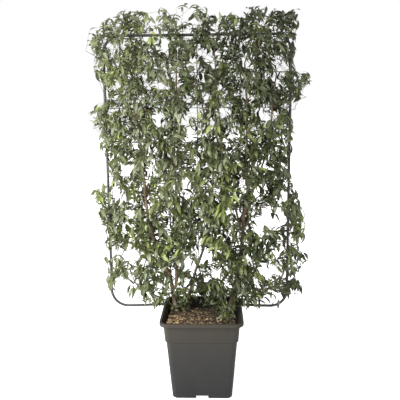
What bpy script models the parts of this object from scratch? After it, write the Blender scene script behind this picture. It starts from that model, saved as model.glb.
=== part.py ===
"""Potted Portugal laurel, trained flat on a steel frame.

Units are metres and +Z is up. The origin is the middle of the pot's flat underside. The plant's
broad face looks along -Y, and the training frame stands behind the pot's back rim, at +Y.
"""
import math
import random

import bmesh
import bpy
from mathutils import Vector
from mathutils.geometry import intersect_ray_tri

for old_object in list(bpy.data.objects):
    bpy.data.objects.remove(old_object, do_unlink=True)

# Clearance left between pieces that touch
GAP = 0.0003

# Edges turned more than this are drawn sharp
SHARP_ANGLE = math.radians(40)

# Pot
POT_HEIGHT = 0.462
RIM_HALF = 0.231
RIM_INNER_HALF = 0.217
RIM_DROP = 0.019
RIM_BEVEL = 0.0025
FOOT_HALF = 0.1685
FOOT_BEVEL = 0.004
WALL_SLOPE = 0.081
WALL = 0.004
LIP_WALL = 0.003
LEDGE_HEIGHT = 0.346
LEDGE_STEP = 0.006
SHOULDER_DROP = 0.013
POT_CORNER = 0.032
CORNER_STEPS = 4
FLOOR_HEIGHT = 0.020
FLOOR_RECESS = 0.016
FOOT_WALL = 0.010
BOSS_HALF = 0.045
BOSS_CORNER = 0.010
NOTCH_WIDTH = 0.078
NOTCH_HEIGHT = 0.018
NOTCH_TAPER = 0.006

# Bark mulch that fills the pot
SOIL_TOP = 0.395
SOIL_DIP = 0.011
SOIL_RINGS = 5
MOUND_RADIUS = 0.06
MOUND_EDGE = 0.05
RIPPLE_X = 31.0
RIPPLE_Y = 27.0

# Steel training frame, with its rim hooks
HOOK_THICKNESS = 0.0025
HOOK_WIDTH = 0.020
HOOK_REACH = 0.13
HOOK_DROP = 0.032
TUBE_RADIUS = 0.008
FRAME_X = -0.027
FRAME_Y = RIM_HALF + GAP + HOOK_THICKNESS + GAP + TUBE_RADIUS
FRAME_WIDTH = 1.103
FRAME_FOOT = 0.3875
FRAME_HEIGHT = 1.648
FRAME_CORNER = 0.10
BAR_BOW = 0.015
WIRE_RADIUS = 0.002
LOW_WIRE = 0.503
FIRST_WIRE = 0.803
WIRE_PITCH = 0.2025
WIRE_COUNT = 6
ROD_RADIUS = 0.0025
TUBE_SIDES = 12
BEND_STEPS = 5
BOW_STEPS = 6
WIRE_SIDES = 6

# Stems and boughs
STEM_SIDES = 10
BOUGH_SIDES = 8
LIMB_STEP = 0.10
FLARE = 0.75
FLARE_HEIGHT = 0.035
FLARE_KNEE = 0.45
FLARE_LEFT = 0.3
LIMB_Y = FRAME_Y - 0.022
BEHIND_POST = 0.018
SOCKET = 0.014
SEAT_SHARES = (0.15, 0.85)

# Foliage
CROWN_FRONT = FRAME_Y - 0.185
CROWN_BACK = FRAME_Y + 0.155
CROWN_MIDDLE = FRAME_Y - 0.015
SEAM_WAVE = 0.022
SEAM_PITCH = 0.47
SEAM_SLANT = 0.45
SPACE_MARGIN = 0.005
LEAF_LENGTH = (0.128, 0.172)
LEAF_WIDTH_SHARE = 0.47
LEAF_ROOT = 0.0019
LEAF_WIDEST = 0.42
LEAF_LIFT = 0.012
LEAF_DROOP = 0.05
LEAF_CLEARANCE = 0.0025
TWIG_CLEARANCE = 0.007
SITE_PITCH = 0.062
SITE_JITTER = 0.45
TRIES = 60
TIP_TRIES = 60
TIP_DEPTH = 0.06
SHOOT_RISE = (-1.0, 0.9)
TOP_RISE = (-0.2, 1.4)
TOP_BAND = 0.22
OUTWARD_LEAN = 0.5
SIDE_LEAN = 0.7
FACING_UP = (0.1, 0.9)
NEARLY_ALONG = 0.9
DEEP_SITES = (0.03, 0.15)
SHALLOW_SITES = (0.0, 0.10)
SKY_SHARES = (0.25, 0.5, 0.75)
STEM_RADII = (0.0050, 0.0048, 0.0040, 0.0024)
STEM_BULGE = 0.012
TWIG_RADIUS = 0.0021
TWIG_REACH = (0.012, 0.26)
SHORTEST_TWIG = 0.035
SOCKET_SHARES = (0.3, 0.55, 0.8)
SOCKETS_TRIED = 14
SHARPEST_TURN = -0.5
SEAT_HEIGHT = 0.35
SEATS_TRIED = 40
GOOD_SHARE = 0.92
FLAT_ANGLE = math.radians(0.2)
SEED = 2024

PLASTIC = ((0.085, 0.085, 0.08), 0.55, 0.0)
MULCH = ((0.30, 0.19, 0.11), 0.95, 0.0)
STEEL = ((0.10, 0.105, 0.105), 0.45, 0.6)
BARK = ((0.27, 0.17, 0.12), 0.85, 0.0)
LEAF = ((0.085, 0.15, 0.055), 0.45, 0.0)


# Materials and meshes

def finish(item, look):
    """Give an object its own material."""
    colour, roughness, metallic = look
    material = bpy.data.materials.new(item.name + "_finish")
    material.use_nodes = True
    shader = material.node_tree.nodes["Principled BSDF"]
    shader.inputs["Base Color"].default_value = (*colour, 1.0)
    shader.inputs["Roughness"].default_value = roughness
    shader.inputs["Metallic"].default_value = metallic
    item.data.materials.clear()
    item.data.materials.append(material)


def mesh_object(name, points, faces, look, smooth=True):
    """Make an object from points and faces, with its faces turned outwards."""
    mesh = bpy.data.meshes.new(name)
    mesh.from_pydata([tuple(point) for point in points], [], faces)
    shell = bmesh.new()
    shell.from_mesh(mesh)
    bmesh.ops.recalc_face_normals(shell, faces=shell.faces)
    shell.to_mesh(mesh)
    shell.free()
    if smooth:
        mesh.shade_smooth()
        mesh.set_sharp_from_angle(angle=SHARP_ANGLE)
    item = bpy.data.objects.new(name, mesh)
    bpy.context.scene.collection.objects.link(item)
    finish(item, look)
    return item


def loft(rings):
    """Join rings of equal length, first to last, and close both ends."""
    count = len(rings[0])
    points = [point for ring in rings for point in ring]
    faces = [tuple(range(count))[::-1]]
    for level in range(len(rings) - 1):
        start = level * count
        for index in range(count):
            after = (index + 1) % count
            faces.append((start + index, start + after, start + count + after, start + count + index))
    faces.append(tuple(range((len(rings) - 1) * count, len(rings) * count)))
    return points, faces


# Round pieces along a path

def smooth_path(stops, step):
    """A Catmull-Rom curve through the stops, with points about one step apart."""
    stops = [Vector(stop) for stop in stops]
    path = [stops[0]]
    for index in range(len(stops) - 1):
        start, end = stops[index], stops[index + 1]
        before = stops[index - 1] if index else start * 2 - end
        after = stops[index + 2] if index + 2 < len(stops) else end * 2 - start
        count = max(1, round((end - start).length / step))
        for part in range(1, count + 1):
            t = part / count
            path.append(0.5 * (2 * start + (end - before) * t
                               + (2 * before - 5 * start + 4 * end - after) * t ** 2
                               + (3 * start - before - 3 * end + after) * t ** 3))
    return path


def moving_frames(path, end_directions=None):
    """The direction and two crosswise axes at each point, turned as little as possible.

    The end directions, where given, are those at which the path starts and stops.
    """
    frames = []
    side = (path[1] - path[0]).orthogonal().normalized()
    for index, point in enumerate(path):
        came = point - path[index - 1] if index else path[1] - point
        goes = path[index + 1] - point if index + 1 < len(path) else came
        along = (came.normalized() + goes.normalized()).normalized()
        if end_directions and index in (0, len(path) - 1):
            along = end_directions[0 if index == 0 else 1]
        side = (side - along * side.dot(along)).normalized()
        frames.append((along, side, along.cross(side)))
    return frames


def tube_rings(path, radii, sides, end_directions=None):
    """One ring of points round each point of the path."""
    rings = []
    for point, radius, (along, side, up) in zip(path, radii, moving_frames(path, end_directions)):
        ring = []
        for index in range(sides):
            turn = 2 * math.pi * index / sides
            ring.append(point + (side * math.cos(turn) + up * math.sin(turn)) * radius)
        rings.append(ring)
    return rings


def tube(name, path, radii, sides, look, end_directions=None):
    """A closed round bar along a path."""
    points, faces = loft(tube_rings(path, radii, sides, end_directions))
    return mesh_object(name, points, faces, look)


# Pot

def wall_half(height):
    """Half the pot's outer width at a height."""
    step = LEDGE_STEP if height >= LEDGE_HEIGHT else 0.0
    return FOOT_HALF + WALL_SLOPE * height + step


def rounded_square(half, corner, height):
    """A level ring: a square with round corners."""
    ring = []
    for quarter in range(4):
        middle = math.pi / 4 + quarter * math.pi / 2
        x = math.copysign(half - corner, math.cos(middle))
        y = math.copysign(half - corner, math.sin(middle))
        for step in range(CORNER_STEPS + 1):
            turn = quarter * math.pi / 2 + step * math.pi / 2 / CORNER_STEPS
            ring.append(Vector((x + corner * math.cos(turn), y + corner * math.sin(turn), height)))
    return ring


def around_shoulder(half):
    """Half width and corner radius of a ring that runs even all round with the pot's shoulder."""
    return half, POT_CORNER + half - wall_half(POT_HEIGHT - SHOULDER_DROP)


def pot_profile():
    """Half width, corner radius and height of each ring, from the underside round to the floor."""
    below_ledge = LEDGE_HEIGHT - LEDGE_STEP / 2
    shoulder = POT_HEIGHT - SHOULDER_DROP
    lip_foot = POT_HEIGHT - RIM_DROP
    flange = POT_HEIGHT - LIP_WALL
    corner = POT_CORNER
    return (
        (BOSS_HALF, BOSS_CORNER, 0.0),
        (BOSS_HALF, BOSS_CORNER, FLOOR_RECESS),
        (FOOT_HALF - FOOT_WALL, corner - FOOT_WALL, FLOOR_RECESS),
        (FOOT_HALF - FOOT_WALL, corner - FOOT_WALL, 0.0),
        (FOOT_HALF - FOOT_BEVEL, corner - FOOT_BEVEL, 0.0),
        (wall_half(FOOT_BEVEL), corner, FOOT_BEVEL),
        (wall_half(below_ledge), corner, below_ledge),
        (wall_half(LEDGE_HEIGHT), corner, LEDGE_HEIGHT),
        (wall_half(shoulder), corner, shoulder),
        (*around_shoulder(RIM_INNER_HALF + WALL), flange),
        (*around_shoulder(RIM_HALF - LIP_WALL), flange),
        (*around_shoulder(RIM_HALF - LIP_WALL), lip_foot),
        (*around_shoulder(RIM_HALF), lip_foot),
        (*around_shoulder(RIM_HALF), POT_HEIGHT - RIM_BEVEL),
        (*around_shoulder(RIM_HALF - RIM_BEVEL), POT_HEIGHT),
        (*around_shoulder(RIM_INNER_HALF), POT_HEIGHT),
        (wall_half(shoulder) - WALL, corner - WALL, shoulder),
        (wall_half(LEDGE_HEIGHT) - WALL, corner - WALL, LEDGE_HEIGHT),
        (wall_half(below_ledge) - WALL, corner - WALL, below_ledge),
        (wall_half(FLOOR_HEIGHT) - WALL, corner - WALL, FLOOR_HEIGHT),
    )


def make_notch_cutter():
    """Four blocks that open a drain notch in the middle of each side of the foot."""
    points = []
    faces = []
    near, far = FOOT_HALF - 2 * FOOT_WALL, FOOT_HALF + FOOT_WALL
    for turn in range(4):
        cos, sin = round(math.cos(turn * math.pi / 2)), round(math.sin(turn * math.pi / 2))
        start = len(points)
        levels = ((-NOTCH_HEIGHT, NOTCH_WIDTH / 2), (NOTCH_HEIGHT, NOTCH_WIDTH / 2 - NOTCH_TAPER))
        for height, half in levels:
            for along, across in ((near, -half), (far, -half), (far, half), (near, half)):
                points.append((along * cos - across * sin, along * sin + across * cos, height))
        quads = ((3, 2, 1, 0), (4, 5, 6, 7), (0, 1, 5, 4), (1, 2, 6, 5), (2, 3, 7, 6), (3, 0, 4, 7))
        faces += [tuple(start + corner for corner in quad) for quad in quads]
    cutter = mesh_object("notch_cutter", points, faces, PLASTIC, smooth=False)
    cutter.hide_render = True
    cutter.display_type = "WIRE"
    return cutter


def make_pot():
    """Square nursery pot with a turned-down rim, a ledge and a recessed underside."""
    rings = [rounded_square(half, corner, height) for half, corner, height in pot_profile()]
    points, faces = loft(rings)
    pot = mesh_object("pot", points, faces, PLASTIC)
    notches = pot.modifiers.new("drain_notches", "BOOLEAN")
    notches.operation = "DIFFERENCE"
    notches.object = make_notch_cutter()
    return pot


# Bark mulch

def soil_height(x, y, feet):
    """The mulch lies level round each stem's foot and dips a little elsewhere."""
    nearest = min(math.hypot(x - foot[0], y - foot[1]) for foot in feet)
    away = min(1.0, max(0.0, (nearest - MOUND_RADIUS) / MOUND_EDGE))
    ripple = abs(math.sin(RIPPLE_X * x + 1.0) * math.sin(RIPPLE_Y * y + 0.5))
    return SOIL_TOP - SOIL_DIP * away * ripple


def make_soil(feet):
    """The filling of the pot, as high as the mulch."""
    below_ledge = LEDGE_HEIGHT - LEDGE_STEP / 2
    corner = POT_CORNER - WALL - GAP
    rings = []
    for height in (FLOOR_HEIGHT + GAP, below_ledge, LEDGE_HEIGHT + GAP, SOIL_TOP - SOIL_DIP):
        half = wall_half(height) - WALL - 2 * GAP
        rings.append(rounded_square(half, corner, height))
    top_half = wall_half(SOIL_TOP - SOIL_DIP) - WALL - 2 * GAP
    for index in range(SOIL_RINGS):
        share = 1 - index / SOIL_RINGS
        ring = rounded_square(top_half * share, corner * share, SOIL_TOP)
        for point in ring:
            point.z = soil_height(point.x, point.y, feet)
        rings.append(ring)
    points, faces = loft(rings)
    return mesh_object("soil", points, faces, MULCH, smooth=False)


# Training frame

def bar_height(x):
    """Height of the bottom bar's centre line, bowed up over the pot."""
    half_run = FRAME_WIDTH / 2 - TUBE_RADIUS - FRAME_CORNER
    share = min(1.0, abs(x - FRAME_X) / half_run)
    return FRAME_FOOT + TUBE_RADIUS + BAR_BOW * (1 - share ** 2) ** 2


def steel_bar(name, path, radius, sides, end_directions=None):
    """One steel bar of the frame; gives its straight stretches, for twigs to keep clear of."""
    tube(name, path, [radius] * len(path), sides, STEEL, end_directions)
    return [(start, end, radius) for start, end in zip(path, path[1:])]


def make_frame():
    """One bent tube, in straight stretches and corner bends, with wires and a centre rod."""
    half = FRAME_WIDTH / 2 - TUBE_RADIUS
    low = FRAME_FOOT + TUBE_RADIUS
    high = FRAME_FOOT + FRAME_HEIGHT - TUBE_RADIUS
    run = half - FRAME_CORNER
    level = Vector((1, 0, 0))
    bars = []
    bow_points = [FRAME_X + run * step / BOW_STEPS for step in range(-BOW_STEPS, BOW_STEPS + 1)]
    bottom = [Vector((x, FRAME_Y, bar_height(x))) for x in bow_points]
    bars += steel_bar("bottom_bar", bottom, TUBE_RADIUS, TUBE_SIDES, (level, level))
    top = [Vector((FRAME_X + sign * run, FRAME_Y, high)) for sign in (-1, 1)]
    bars += steel_bar("top_bar", top, TUBE_RADIUS, TUBE_SIDES)
    for side_name, sign in (("left", -1), ("right", 1)):
        x = FRAME_X + sign * half
        post = [Vector((x, FRAME_Y, low + FRAME_CORNER)), Vector((x, FRAME_Y, high - FRAME_CORNER))]
        bars += steel_bar(side_name + "_post", post, TUBE_RADIUS, TUBE_SIDES)
        for level_name, height, updown in (("bottom", low, -1), ("top", high, 1)):
            centre = Vector((FRAME_X + sign * run, FRAME_Y, height - updown * FRAME_CORNER))
            inset = GAP / FRAME_CORNER
            bend = []
            for step in range(BEND_STEPS + 1):
                turn = inset + (math.pi / 2 - 2 * inset) * step / BEND_STEPS
                out = Vector((sign * math.sin(turn), 0, updown * math.cos(turn)))
                bend.append(centre + out * FRAME_CORNER)
            name = "%s_%s_bend" % (level_name, side_name)
            ends = (level * sign, Vector((0, 0, -updown)))
            bars += steel_bar(name, bend, TUBE_RADIUS, TUBE_SIDES, ends)
    reach = half - TUBE_RADIUS - GAP
    for index, height in enumerate(wire_heights()):
        wire = [Vector((FRAME_X + sign * reach, FRAME_Y, height)) for sign in (-1, 1)]
        bars += steel_bar("wire_%d" % (index + 1), wire, WIRE_RADIUS, WIRE_SIDES)
    depth = FRAME_Y + WIRE_RADIUS + GAP + ROD_RADIUS
    rod = [Vector((FRAME_X, depth, bar_height(FRAME_X) + TUBE_RADIUS + GAP)),
           Vector((FRAME_X, depth, high - TUBE_RADIUS - GAP))]
    return bars + steel_bar("centre_rod", rod, ROD_RADIUS, WIRE_SIDES)


def wire_heights():
    """Heights of the wires, lowest first."""
    return [LOW_WIRE] + [FIRST_WIRE + WIRE_PITCH * index for index in range(WIRE_COUNT)]


def make_rim_hook(name, x):
    """A flat strip on the bottom bar that hooks over the pot's back rim."""
    thick = HOOK_THICKNESS
    back = RIM_HALF + GAP
    top = POT_HEIGHT + GAP
    front = wall_half(POT_HEIGHT - HOOK_DROP) - WALL - GAP
    low_back = bar_height(x) - TUBE_RADIUS
    low_front = POT_HEIGHT - HOOK_DROP
    outline = ((back, low_back), (back + thick, low_back), (back + thick, top + thick),
               (front - thick, top + thick), (front - thick, low_front), (front, low_front),
               (front, top), (back, top))
    rings = []
    for side in (-HOOK_WIDTH / 2, HOOK_WIDTH / 2):
        rings.append([Vector((x + side, y, z)) for y, z in outline])
    points, faces = loft(rings)
    mesh_object(name, points, faces, STEEL, smooth=False)


# Stems and boughs

def make_limb(name, path, radii, sides):
    """A tapering limb, kept as a record that later limbs and twigs are set against."""
    tube(name, path, radii, sides, BARK)
    return {"path": path, "radii": radii, "sides": sides, "frames": moving_frames(path)}


def taper(path, foot_radius, tip_radius):
    """Radii that fall evenly along the path."""
    lengths = [0.0]
    for before, after in zip(path, path[1:]):
        lengths.append(lengths[-1] + (after - before).length)
    return [foot_radius + (tip_radius - foot_radius) * length / lengths[-1] for length in lengths]


def stem_from_soil(name, stops, foot_radius, tip_radius):
    """A stem that stands on the mulch with a flared foot and a flat cut."""
    foot = Vector(stops[0])
    path = [foot + Vector((0, 0, FLARE_HEIGHT * share)) for share in (0.0, FLARE_KNEE, 1.0)]
    path += smooth_path([path[-1]] + list(stops[1:]), LIMB_STEP)[1:]
    radii = taper(path, foot_radius, tip_radius)
    radii[0] *= 1 + FLARE
    radii[1] *= 1 + FLARE * FLARE_LEFT
    return make_limb(name, path, radii, STEM_SIDES)


def seat(limb, place, wish):
    """Where a twig or bough stands on a limb's side near a place, and the direction it leaves in.

    It stands just clear of the limb's flat face that looks most to the wish, square to it.
    """
    path, radii = limb["path"], limb["radii"]
    middles = [a.lerp(b, 0.5) for a, b in zip(path, path[1:])]
    index = min(range(len(middles)), key=lambda number: (middles[number] - place).length)
    run = path[index + 1] - path[index]
    share = (place - path[index]).dot(run) / run.length_squared
    share = min(SEAT_SHARES[1], max(SEAT_SHARES[0], share))
    radius = radii[index] + (radii[index + 1] - radii[index]) * share
    along = run.normalized()
    side = limb["frames"][index][1]
    side = (side - along * side.dot(along)).normalized()
    up = along.cross(side)
    turns = [2 * math.pi * (face + 0.5) / limb["sides"] for face in range(limb["sides"])]
    normals = [side * math.cos(turn) + up * math.sin(turn) for turn in turns]
    out = max(normals, key=lambda normal: normal.dot(wish))
    return path[index] + run * share + out * (radius * math.cos(math.pi / limb["sides"]) + GAP), out


def bough_on_side(name, limb, height, stops, foot_radius, tip_radius):
    """A bough that leaves a limb's side square to it, then follows its stops."""
    start = point_at(limb, height)
    foot, out = seat(limb, start, Vector(stops[0]) - start)
    path = [foot, foot + out * SOCKET]
    path += smooth_path([path[-1]] + list(stops), LIMB_STEP)[1:]
    return make_limb(name, path, taper(path, foot_radius, tip_radius), BOUGH_SIDES)


def bough_on_tip(name, limb, stops, tip_radius):
    """A bough that carries on from a limb's tip, as thick as the tip."""
    along = limb["frames"][-1][0]
    foot = limb["path"][-1] + along * GAP
    path = [foot, foot + along * SOCKET]
    path += smooth_path([path[-1]] + list(stops), LIMB_STEP)[1:]
    return make_limb(name, path, taper(path, limb["radii"][-1], tip_radius), BOUGH_SIDES)


def point_at(limb, height):
    """The point of a rising limb's centre line at a height."""
    for start, end in zip(limb["path"], limb["path"][1:]):
        if start.z <= height <= end.z:
            return start.lerp(end, (height - start.z) / (end.z - start.z))
    return limb["path"][-1]


def flat_stops(*places):
    """Stops in the training plane, from pairs of x and height."""
    return [(x, LIMB_Y, height) for x, height in places]


def post_stops(sign, *heights):
    """Stops straight up behind the frame's left (-1) or right (1) post."""
    x = FRAME_X + sign * (FRAME_WIDTH / 2 - TUBE_RADIUS)
    return [(x, FRAME_Y + BEHIND_POST, height) for height in heights]


def soil_stops(foot_x, foot_y, *places):
    """Stops of a stem: its foot on the mulch, then places in space."""
    return [(foot_x, foot_y, SOIL_TOP + GAP)] + list(places)


STEM_FEET = {"left": (-0.164, 0.125), "middle": (-0.090, 0.165), "right": (0.165, 0.130)}


def make_limbs():
    """All stems and boughs, by name."""
    limbs = {}
    limbs["left_stem"] = stem_from_soil(
        "left_stem", soil_stops(*STEM_FEET["left"], (-0.178, 0.156, 0.480), (-0.197, 0.206, 0.580)),
        0.0150, 0.0110)
    limbs["left_bough"] = bough_on_tip(
        "left_bough", limbs["left_stem"],
        flat_stops((-0.228, 0.650), (-0.275, 0.757), (-0.312, 0.870), (-0.338, 1.030), (-0.352, 1.220),
                   (-0.367, 1.440), (-0.395, 1.640), (-0.400, 1.905)), 0.0042)
    limbs["inner_left_bough"] = bough_on_side(
        "inner_left_bough", limbs["left_stem"], 0.535,
        flat_stops((-0.163, 0.655), (-0.151, 0.819), (-0.155, 1.006), (-0.161, 1.188), (-0.164, 1.368),
                   (-0.148, 1.590), (-0.146, 1.850)), 0.0085, 0.0042)
    limbs["far_left_bough"] = bough_on_side(
        "far_left_bough", limbs["left_bough"], 0.765,
        flat_stops((-0.345, 0.790), (-0.420, 0.796), (-0.490, 0.822)), 0.0068, 0.0056)
    limbs["far_left_upright"] = bough_on_tip(
        "far_left_upright", limbs["far_left_bough"],
        [(-0.548, FRAME_Y + 0.010, 0.905)] + post_stops(-1, 0.985, 1.200, 1.450, 1.650, 1.860), 0.0038)
    limbs["middle_stem"] = stem_from_soil(
        "middle_stem", soil_stops(*STEM_FEET["middle"], (-0.075, 0.205, 0.520))
        + flat_stops((-0.044, 0.630), (0.007, 0.782), (0.038, 0.974), (0.064, 1.187), (0.047, 1.425),
                     (0.000, 1.640), (-0.018, 1.780)), 0.0085, 0.0038)
    limbs["right_stem"] = stem_from_soil(
        "right_stem", soil_stops(*STEM_FEET["right"], (0.178, 0.165, 0.470), (0.204, 0.205, 0.566))
        + flat_stops((0.232, 0.725), (0.243, 0.860), (0.245, 0.949)), 0.0170, 0.0105)
    limbs["right_bough"] = bough_on_tip(
        "right_bough", limbs["right_stem"],
        flat_stops((0.264, 1.035), (0.276, 1.120), (0.260, 1.210), (0.262, 1.365), (0.264, 1.569),
                   (0.250, 1.850)), 0.0045)
    limbs["inner_right_bough"] = bough_on_side(
        "inner_right_bough", limbs["right_stem"], 0.920,
        flat_stops((0.196, 1.017), (0.150, 1.120), (0.118, 1.366), (0.098, 1.599), (0.075, 1.925)),
        0.0070, 0.0040)
    limbs["outer_right_bough"] = bough_on_side(
        "outer_right_bough", limbs["right_bough"], 1.105,
        flat_stops((0.325, 1.190), (0.365, 1.305), (0.402, 1.481), (0.412, 1.650), (0.430, 1.790)),
        0.0065, 0.0040)
    limbs["low_right_bough"] = bough_on_side(
        "low_right_bough", limbs["right_stem"], 0.500,
        flat_stops((0.290, 0.512), (0.370, 0.508), (0.445, 0.530)), 0.0072, 0.0058)
    limbs["far_right_bough"] = bough_on_tip(
        "far_right_bough", limbs["low_right_bough"],
        [(0.496, FRAME_Y + 0.010, 0.610)] + post_stops(1, 0.690, 0.850, 1.020, 1.200), 0.0038)
    return limbs


# The crown's outline, its seams and the sky that shows through it

CROWN_LEFT = ((0.40, -0.60), (0.55, -0.615), (0.75, -0.635), (0.95, -0.645), (1.05, -0.67),
              (1.14, -0.685), (1.20, -0.62), (1.30, -0.60), (1.45, -0.64), (1.55, -0.68), (1.61, -0.67),
              (1.66, -0.595), (1.74, -0.60), (1.80, -0.66), (1.92, -0.67), (2.02, -0.69), (2.08, -0.62),
              (2.16, -0.53), (2.25, -0.48))
CROWN_RIGHT = ((0.40, 0.59), (0.62, 0.60), (0.68, 0.655), (0.74, 0.64), (0.80, 0.60), (0.95, 0.62),
               (1.08, 0.59), (1.18, 0.55), (1.40, 0.54), (1.55, 0.545), (1.63, 0.60), (1.72, 0.66),
               (1.80, 0.65), (1.85, 0.555), (1.95, 0.565), (2.05, 0.575), (2.16, 0.59), (2.25, 0.59))
CROWN_TOP = ((-0.68, 2.06), (-0.44, 2.185), (-0.31, 2.15), (-0.20, 2.18), (-0.14, 2.15), (-0.08, 2.216),
             (0.0, 2.15), (0.165, 2.16), (0.32, 2.19), (0.66, 2.195))
CROWN_BOTTOM = ((-0.68, 0.49), (-0.58, 0.46), (-0.42, 0.47), (-0.25, 0.43), (0.24, 0.42), (0.30, 0.43),
                (0.66, 0.46))

# Centre x, centre height and half sizes of each patch of sky
SKY = ((-0.475, 0.535, 0.055, 0.045), (-0.450, 0.720, 0.085, 0.035), (-0.100, 0.655, 0.060, 0.040),
       (0.015, 0.700, 0.050, 0.040), (0.390, 0.620, 0.060, 0.040), (0.465, 0.755, 0.035, 0.035),
       (0.400, 0.940, 0.085, 0.075), (-0.525, 1.100, 0.040, 0.050), (-0.095, 1.145, 0.035, 0.045),
       (-0.460, 1.250, 0.060, 0.030), (0.355, 1.270, 0.035, 0.030), (-0.290, 1.310, 0.025, 0.050),
       (-0.060, 1.515, 0.045, 0.075), (0.165, 1.460, 0.022, 0.050), (-0.255, 1.560, 0.035, 0.050),
       (0.365, 1.570, 0.035, 0.045), (0.130, 1.580, 0.035, 0.030), (-0.250, 1.745, 0.035, 0.035),
       (0.012, 1.780, 0.022, 0.028), (0.260, 1.870, 0.045, 0.030), (0.480, 1.840, 0.022, 0.030),
       (-0.209, 1.968, 0.035, 0.045))

# Where the furthest sprigs end: x and height
FURTHEST_TIPS = ((-0.440, 2.178), (-0.080, 2.212), (0.323, 2.185), (0.555, 2.188), (-0.675, 1.990),
                 (-0.665, 1.590), (-0.675, 1.140), (-0.632, 0.860), (0.645, 1.768), (0.650, 0.692),
                 (0.612, 0.960))

COLUMNS = (("far_left", -0.70, -0.440, 4, 0.04), ("left", -0.440, -0.245, 5, 0.05),
           ("inner_left", -0.245, -0.070, 5, -0.04), ("inner_right", -0.070, 0.150, 5, 0.05),
           ("right", 0.150, 0.345, 5, -0.05), ("far_right", 0.345, 0.68, 4, 0.00))
CROWN_FOOT = 0.36
CROWN_HEAD = 2.23
ROW_SPILL = 0.05
POT_ROOM = Vector((0.010, 0.020, 0.012))
NEAR_REACH = 0.06


def along_outline(outline, place):
    """Read an outline of (place, reach) pairs at a place, in straight stretches."""
    for (start, reach_a), (end, reach_b) in zip(outline, outline[1:]):
        if place <= end:
            share = max(0.0, (place - start) / (end - start))
            return reach_a + (reach_b - reach_a) * share
    return outline[-1][1]


def seam_place(point):
    """Column and row place of a point, along seams that wave and slant so no straight joint shows."""
    deep = point.y - FRAME_Y
    across = point.x + SEAM_WAVE * math.sin(2 * math.pi * point.z / SEAM_PITCH) + SEAM_SLANT * deep
    upward = point.z + SEAM_WAVE * math.sin(2 * math.pi * point.x / SEAM_PITCH + 1.0) + SEAM_SLANT * deep
    return across, upward


def crown_spaces():
    """Each foliage mass's own space: a name and its limits along the seams."""
    spaces = []
    for name, left, right, rows, stagger in COLUMNS:
        edges = [CROWN_FOOT + (CROWN_HEAD - CROWN_FOOT) * row / rows for row in range(rows + 1)]
        for row in range(rows):
            low = edges[row] + (stagger if row else -ROW_SPILL)
            high = edges[row + 1] + (stagger if row < rows - 1 else ROW_SPILL)
            spaces.append({"name": "foliage_%s_%d" % (name, row + 1), "column": name, "left": left,
                           "right": right, "low": low, "high": high, "top_row": row == rows - 1})
    return spaces


def inside_crown(point):
    """Whether a point lies within the crown's outline and clear of the pot."""
    if not CROWN_FRONT <= point.y <= CROWN_BACK:
        return False
    if not along_outline(CROWN_LEFT, point.z) <= point.x <= along_outline(CROWN_RIGHT, point.z):
        return False
    if not along_outline(CROWN_BOTTOM, point.x) <= point.z <= along_outline(CROWN_TOP, point.x):
        return False
    over_pot = abs(point.x) < RIM_HALF + POT_ROOM.x and point.y < RIM_HALF + POT_ROOM.y
    return not (over_pot and point.z < POT_HEIGHT + POT_ROOM.z)


def inside_space(point, space):
    """Whether a point lies in a mass's own space, a margin away from its seams."""
    across, upward = seam_place(point)
    if not space["left"] + SPACE_MARGIN <= across <= space["right"] - SPACE_MARGIN:
        return False
    if not space["low"] + SPACE_MARGIN <= upward <= space["high"] - SPACE_MARGIN:
        return False
    return inside_crown(point)


def in_sky(point):
    """Whether a point lies in a patch of the crown that stays open."""
    return any(((point.x - x) / half_x) ** 2 + ((point.z - z) / half_z) ** 2 < 1
               for x, z, half_x, half_z in SKY)


def through_sky(start, end):
    """Whether a straight stretch runs through a patch of open sky."""
    return any(in_sky(start.lerp(end, share)) for share in SKY_SHARES)


# Clearances

def segment_distance(a, b, c, d):
    """The least distance between segments a-b and c-d."""
    run_a, run_c, offset = b - a, d - c, a - c
    aa, cc, ac = run_a.dot(run_a), run_c.dot(run_c), run_a.dot(run_c)
    ao, co = run_a.dot(offset), run_c.dot(offset)
    scale = aa * cc - ac * ac
    s = min(1.0, max(0.0, (ac * co - cc * ao) / scale)) if scale > 1e-12 else 0.0
    t = (ac * s + co) / cc
    if not 0.0 <= t <= 1.0:
        t = min(1.0, max(0.0, t))
        s = min(1.0, max(0.0, (ac * t - ao) / aa))
    return (a + run_a * s - c - run_c * t).length


def crosses(a, b, triangle):
    """Whether segment a-b passes through a triangle."""
    run = b - a
    hit = intersect_ray_tri(*triangle, run, a, True)
    return hit is not None and (hit - a).length <= run.length


def limb_bars(limbs):
    """Every limb as straight stretches: two ends and a radius."""
    bars = []
    for limb in limbs.values():
        stretch = zip(limb["path"], limb["path"][1:], limb["radii"])
        bars += [(start, end, radius) for start, end, radius in stretch]
    return bars


def bars_near(bars, space):
    """The bars that come near a mass's space."""
    near = []
    for a, b, radius in bars:
        if min(a.x, b.x) > space["right"] + NEAR_REACH or max(a.x, b.x) < space["left"] - NEAR_REACH:
            continue
        if min(a.z, b.z) > space["high"] + NEAR_REACH or max(a.z, b.z) < space["low"] - NEAR_REACH:
            continue
        near.append((a, b, radius))
    return near


# Leaves

def leaf_shape(root, along, facing, length):
    """The corners of one leaf's blade: its root, two sides and a drooping tip."""
    across = along.cross(facing).normalized()
    top = across.cross(along).normalized()
    half = length * LEAF_WIDTH_SHARE / 2
    middle = root + along * length * LEAF_WIDEST + top * length * LEAF_LIFT
    return {"root": root, "along": along, "across": across, "length": length,
            "sides": (middle + across * half, middle - across * half),
            "tip": root + along * length - top * length * LEAF_DROOP}


def root_ring(point, along, across, radius):
    """A three-cornered ring: two upper corners and a keel."""
    across = (across - along * across.dot(along)).normalized()
    top = across.cross(along)
    turns = [math.radians(angle) for angle in (30, 150, 270)]
    return [point + (across * math.cos(turn) + top * math.sin(turn)) * radius for turn in turns]


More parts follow.
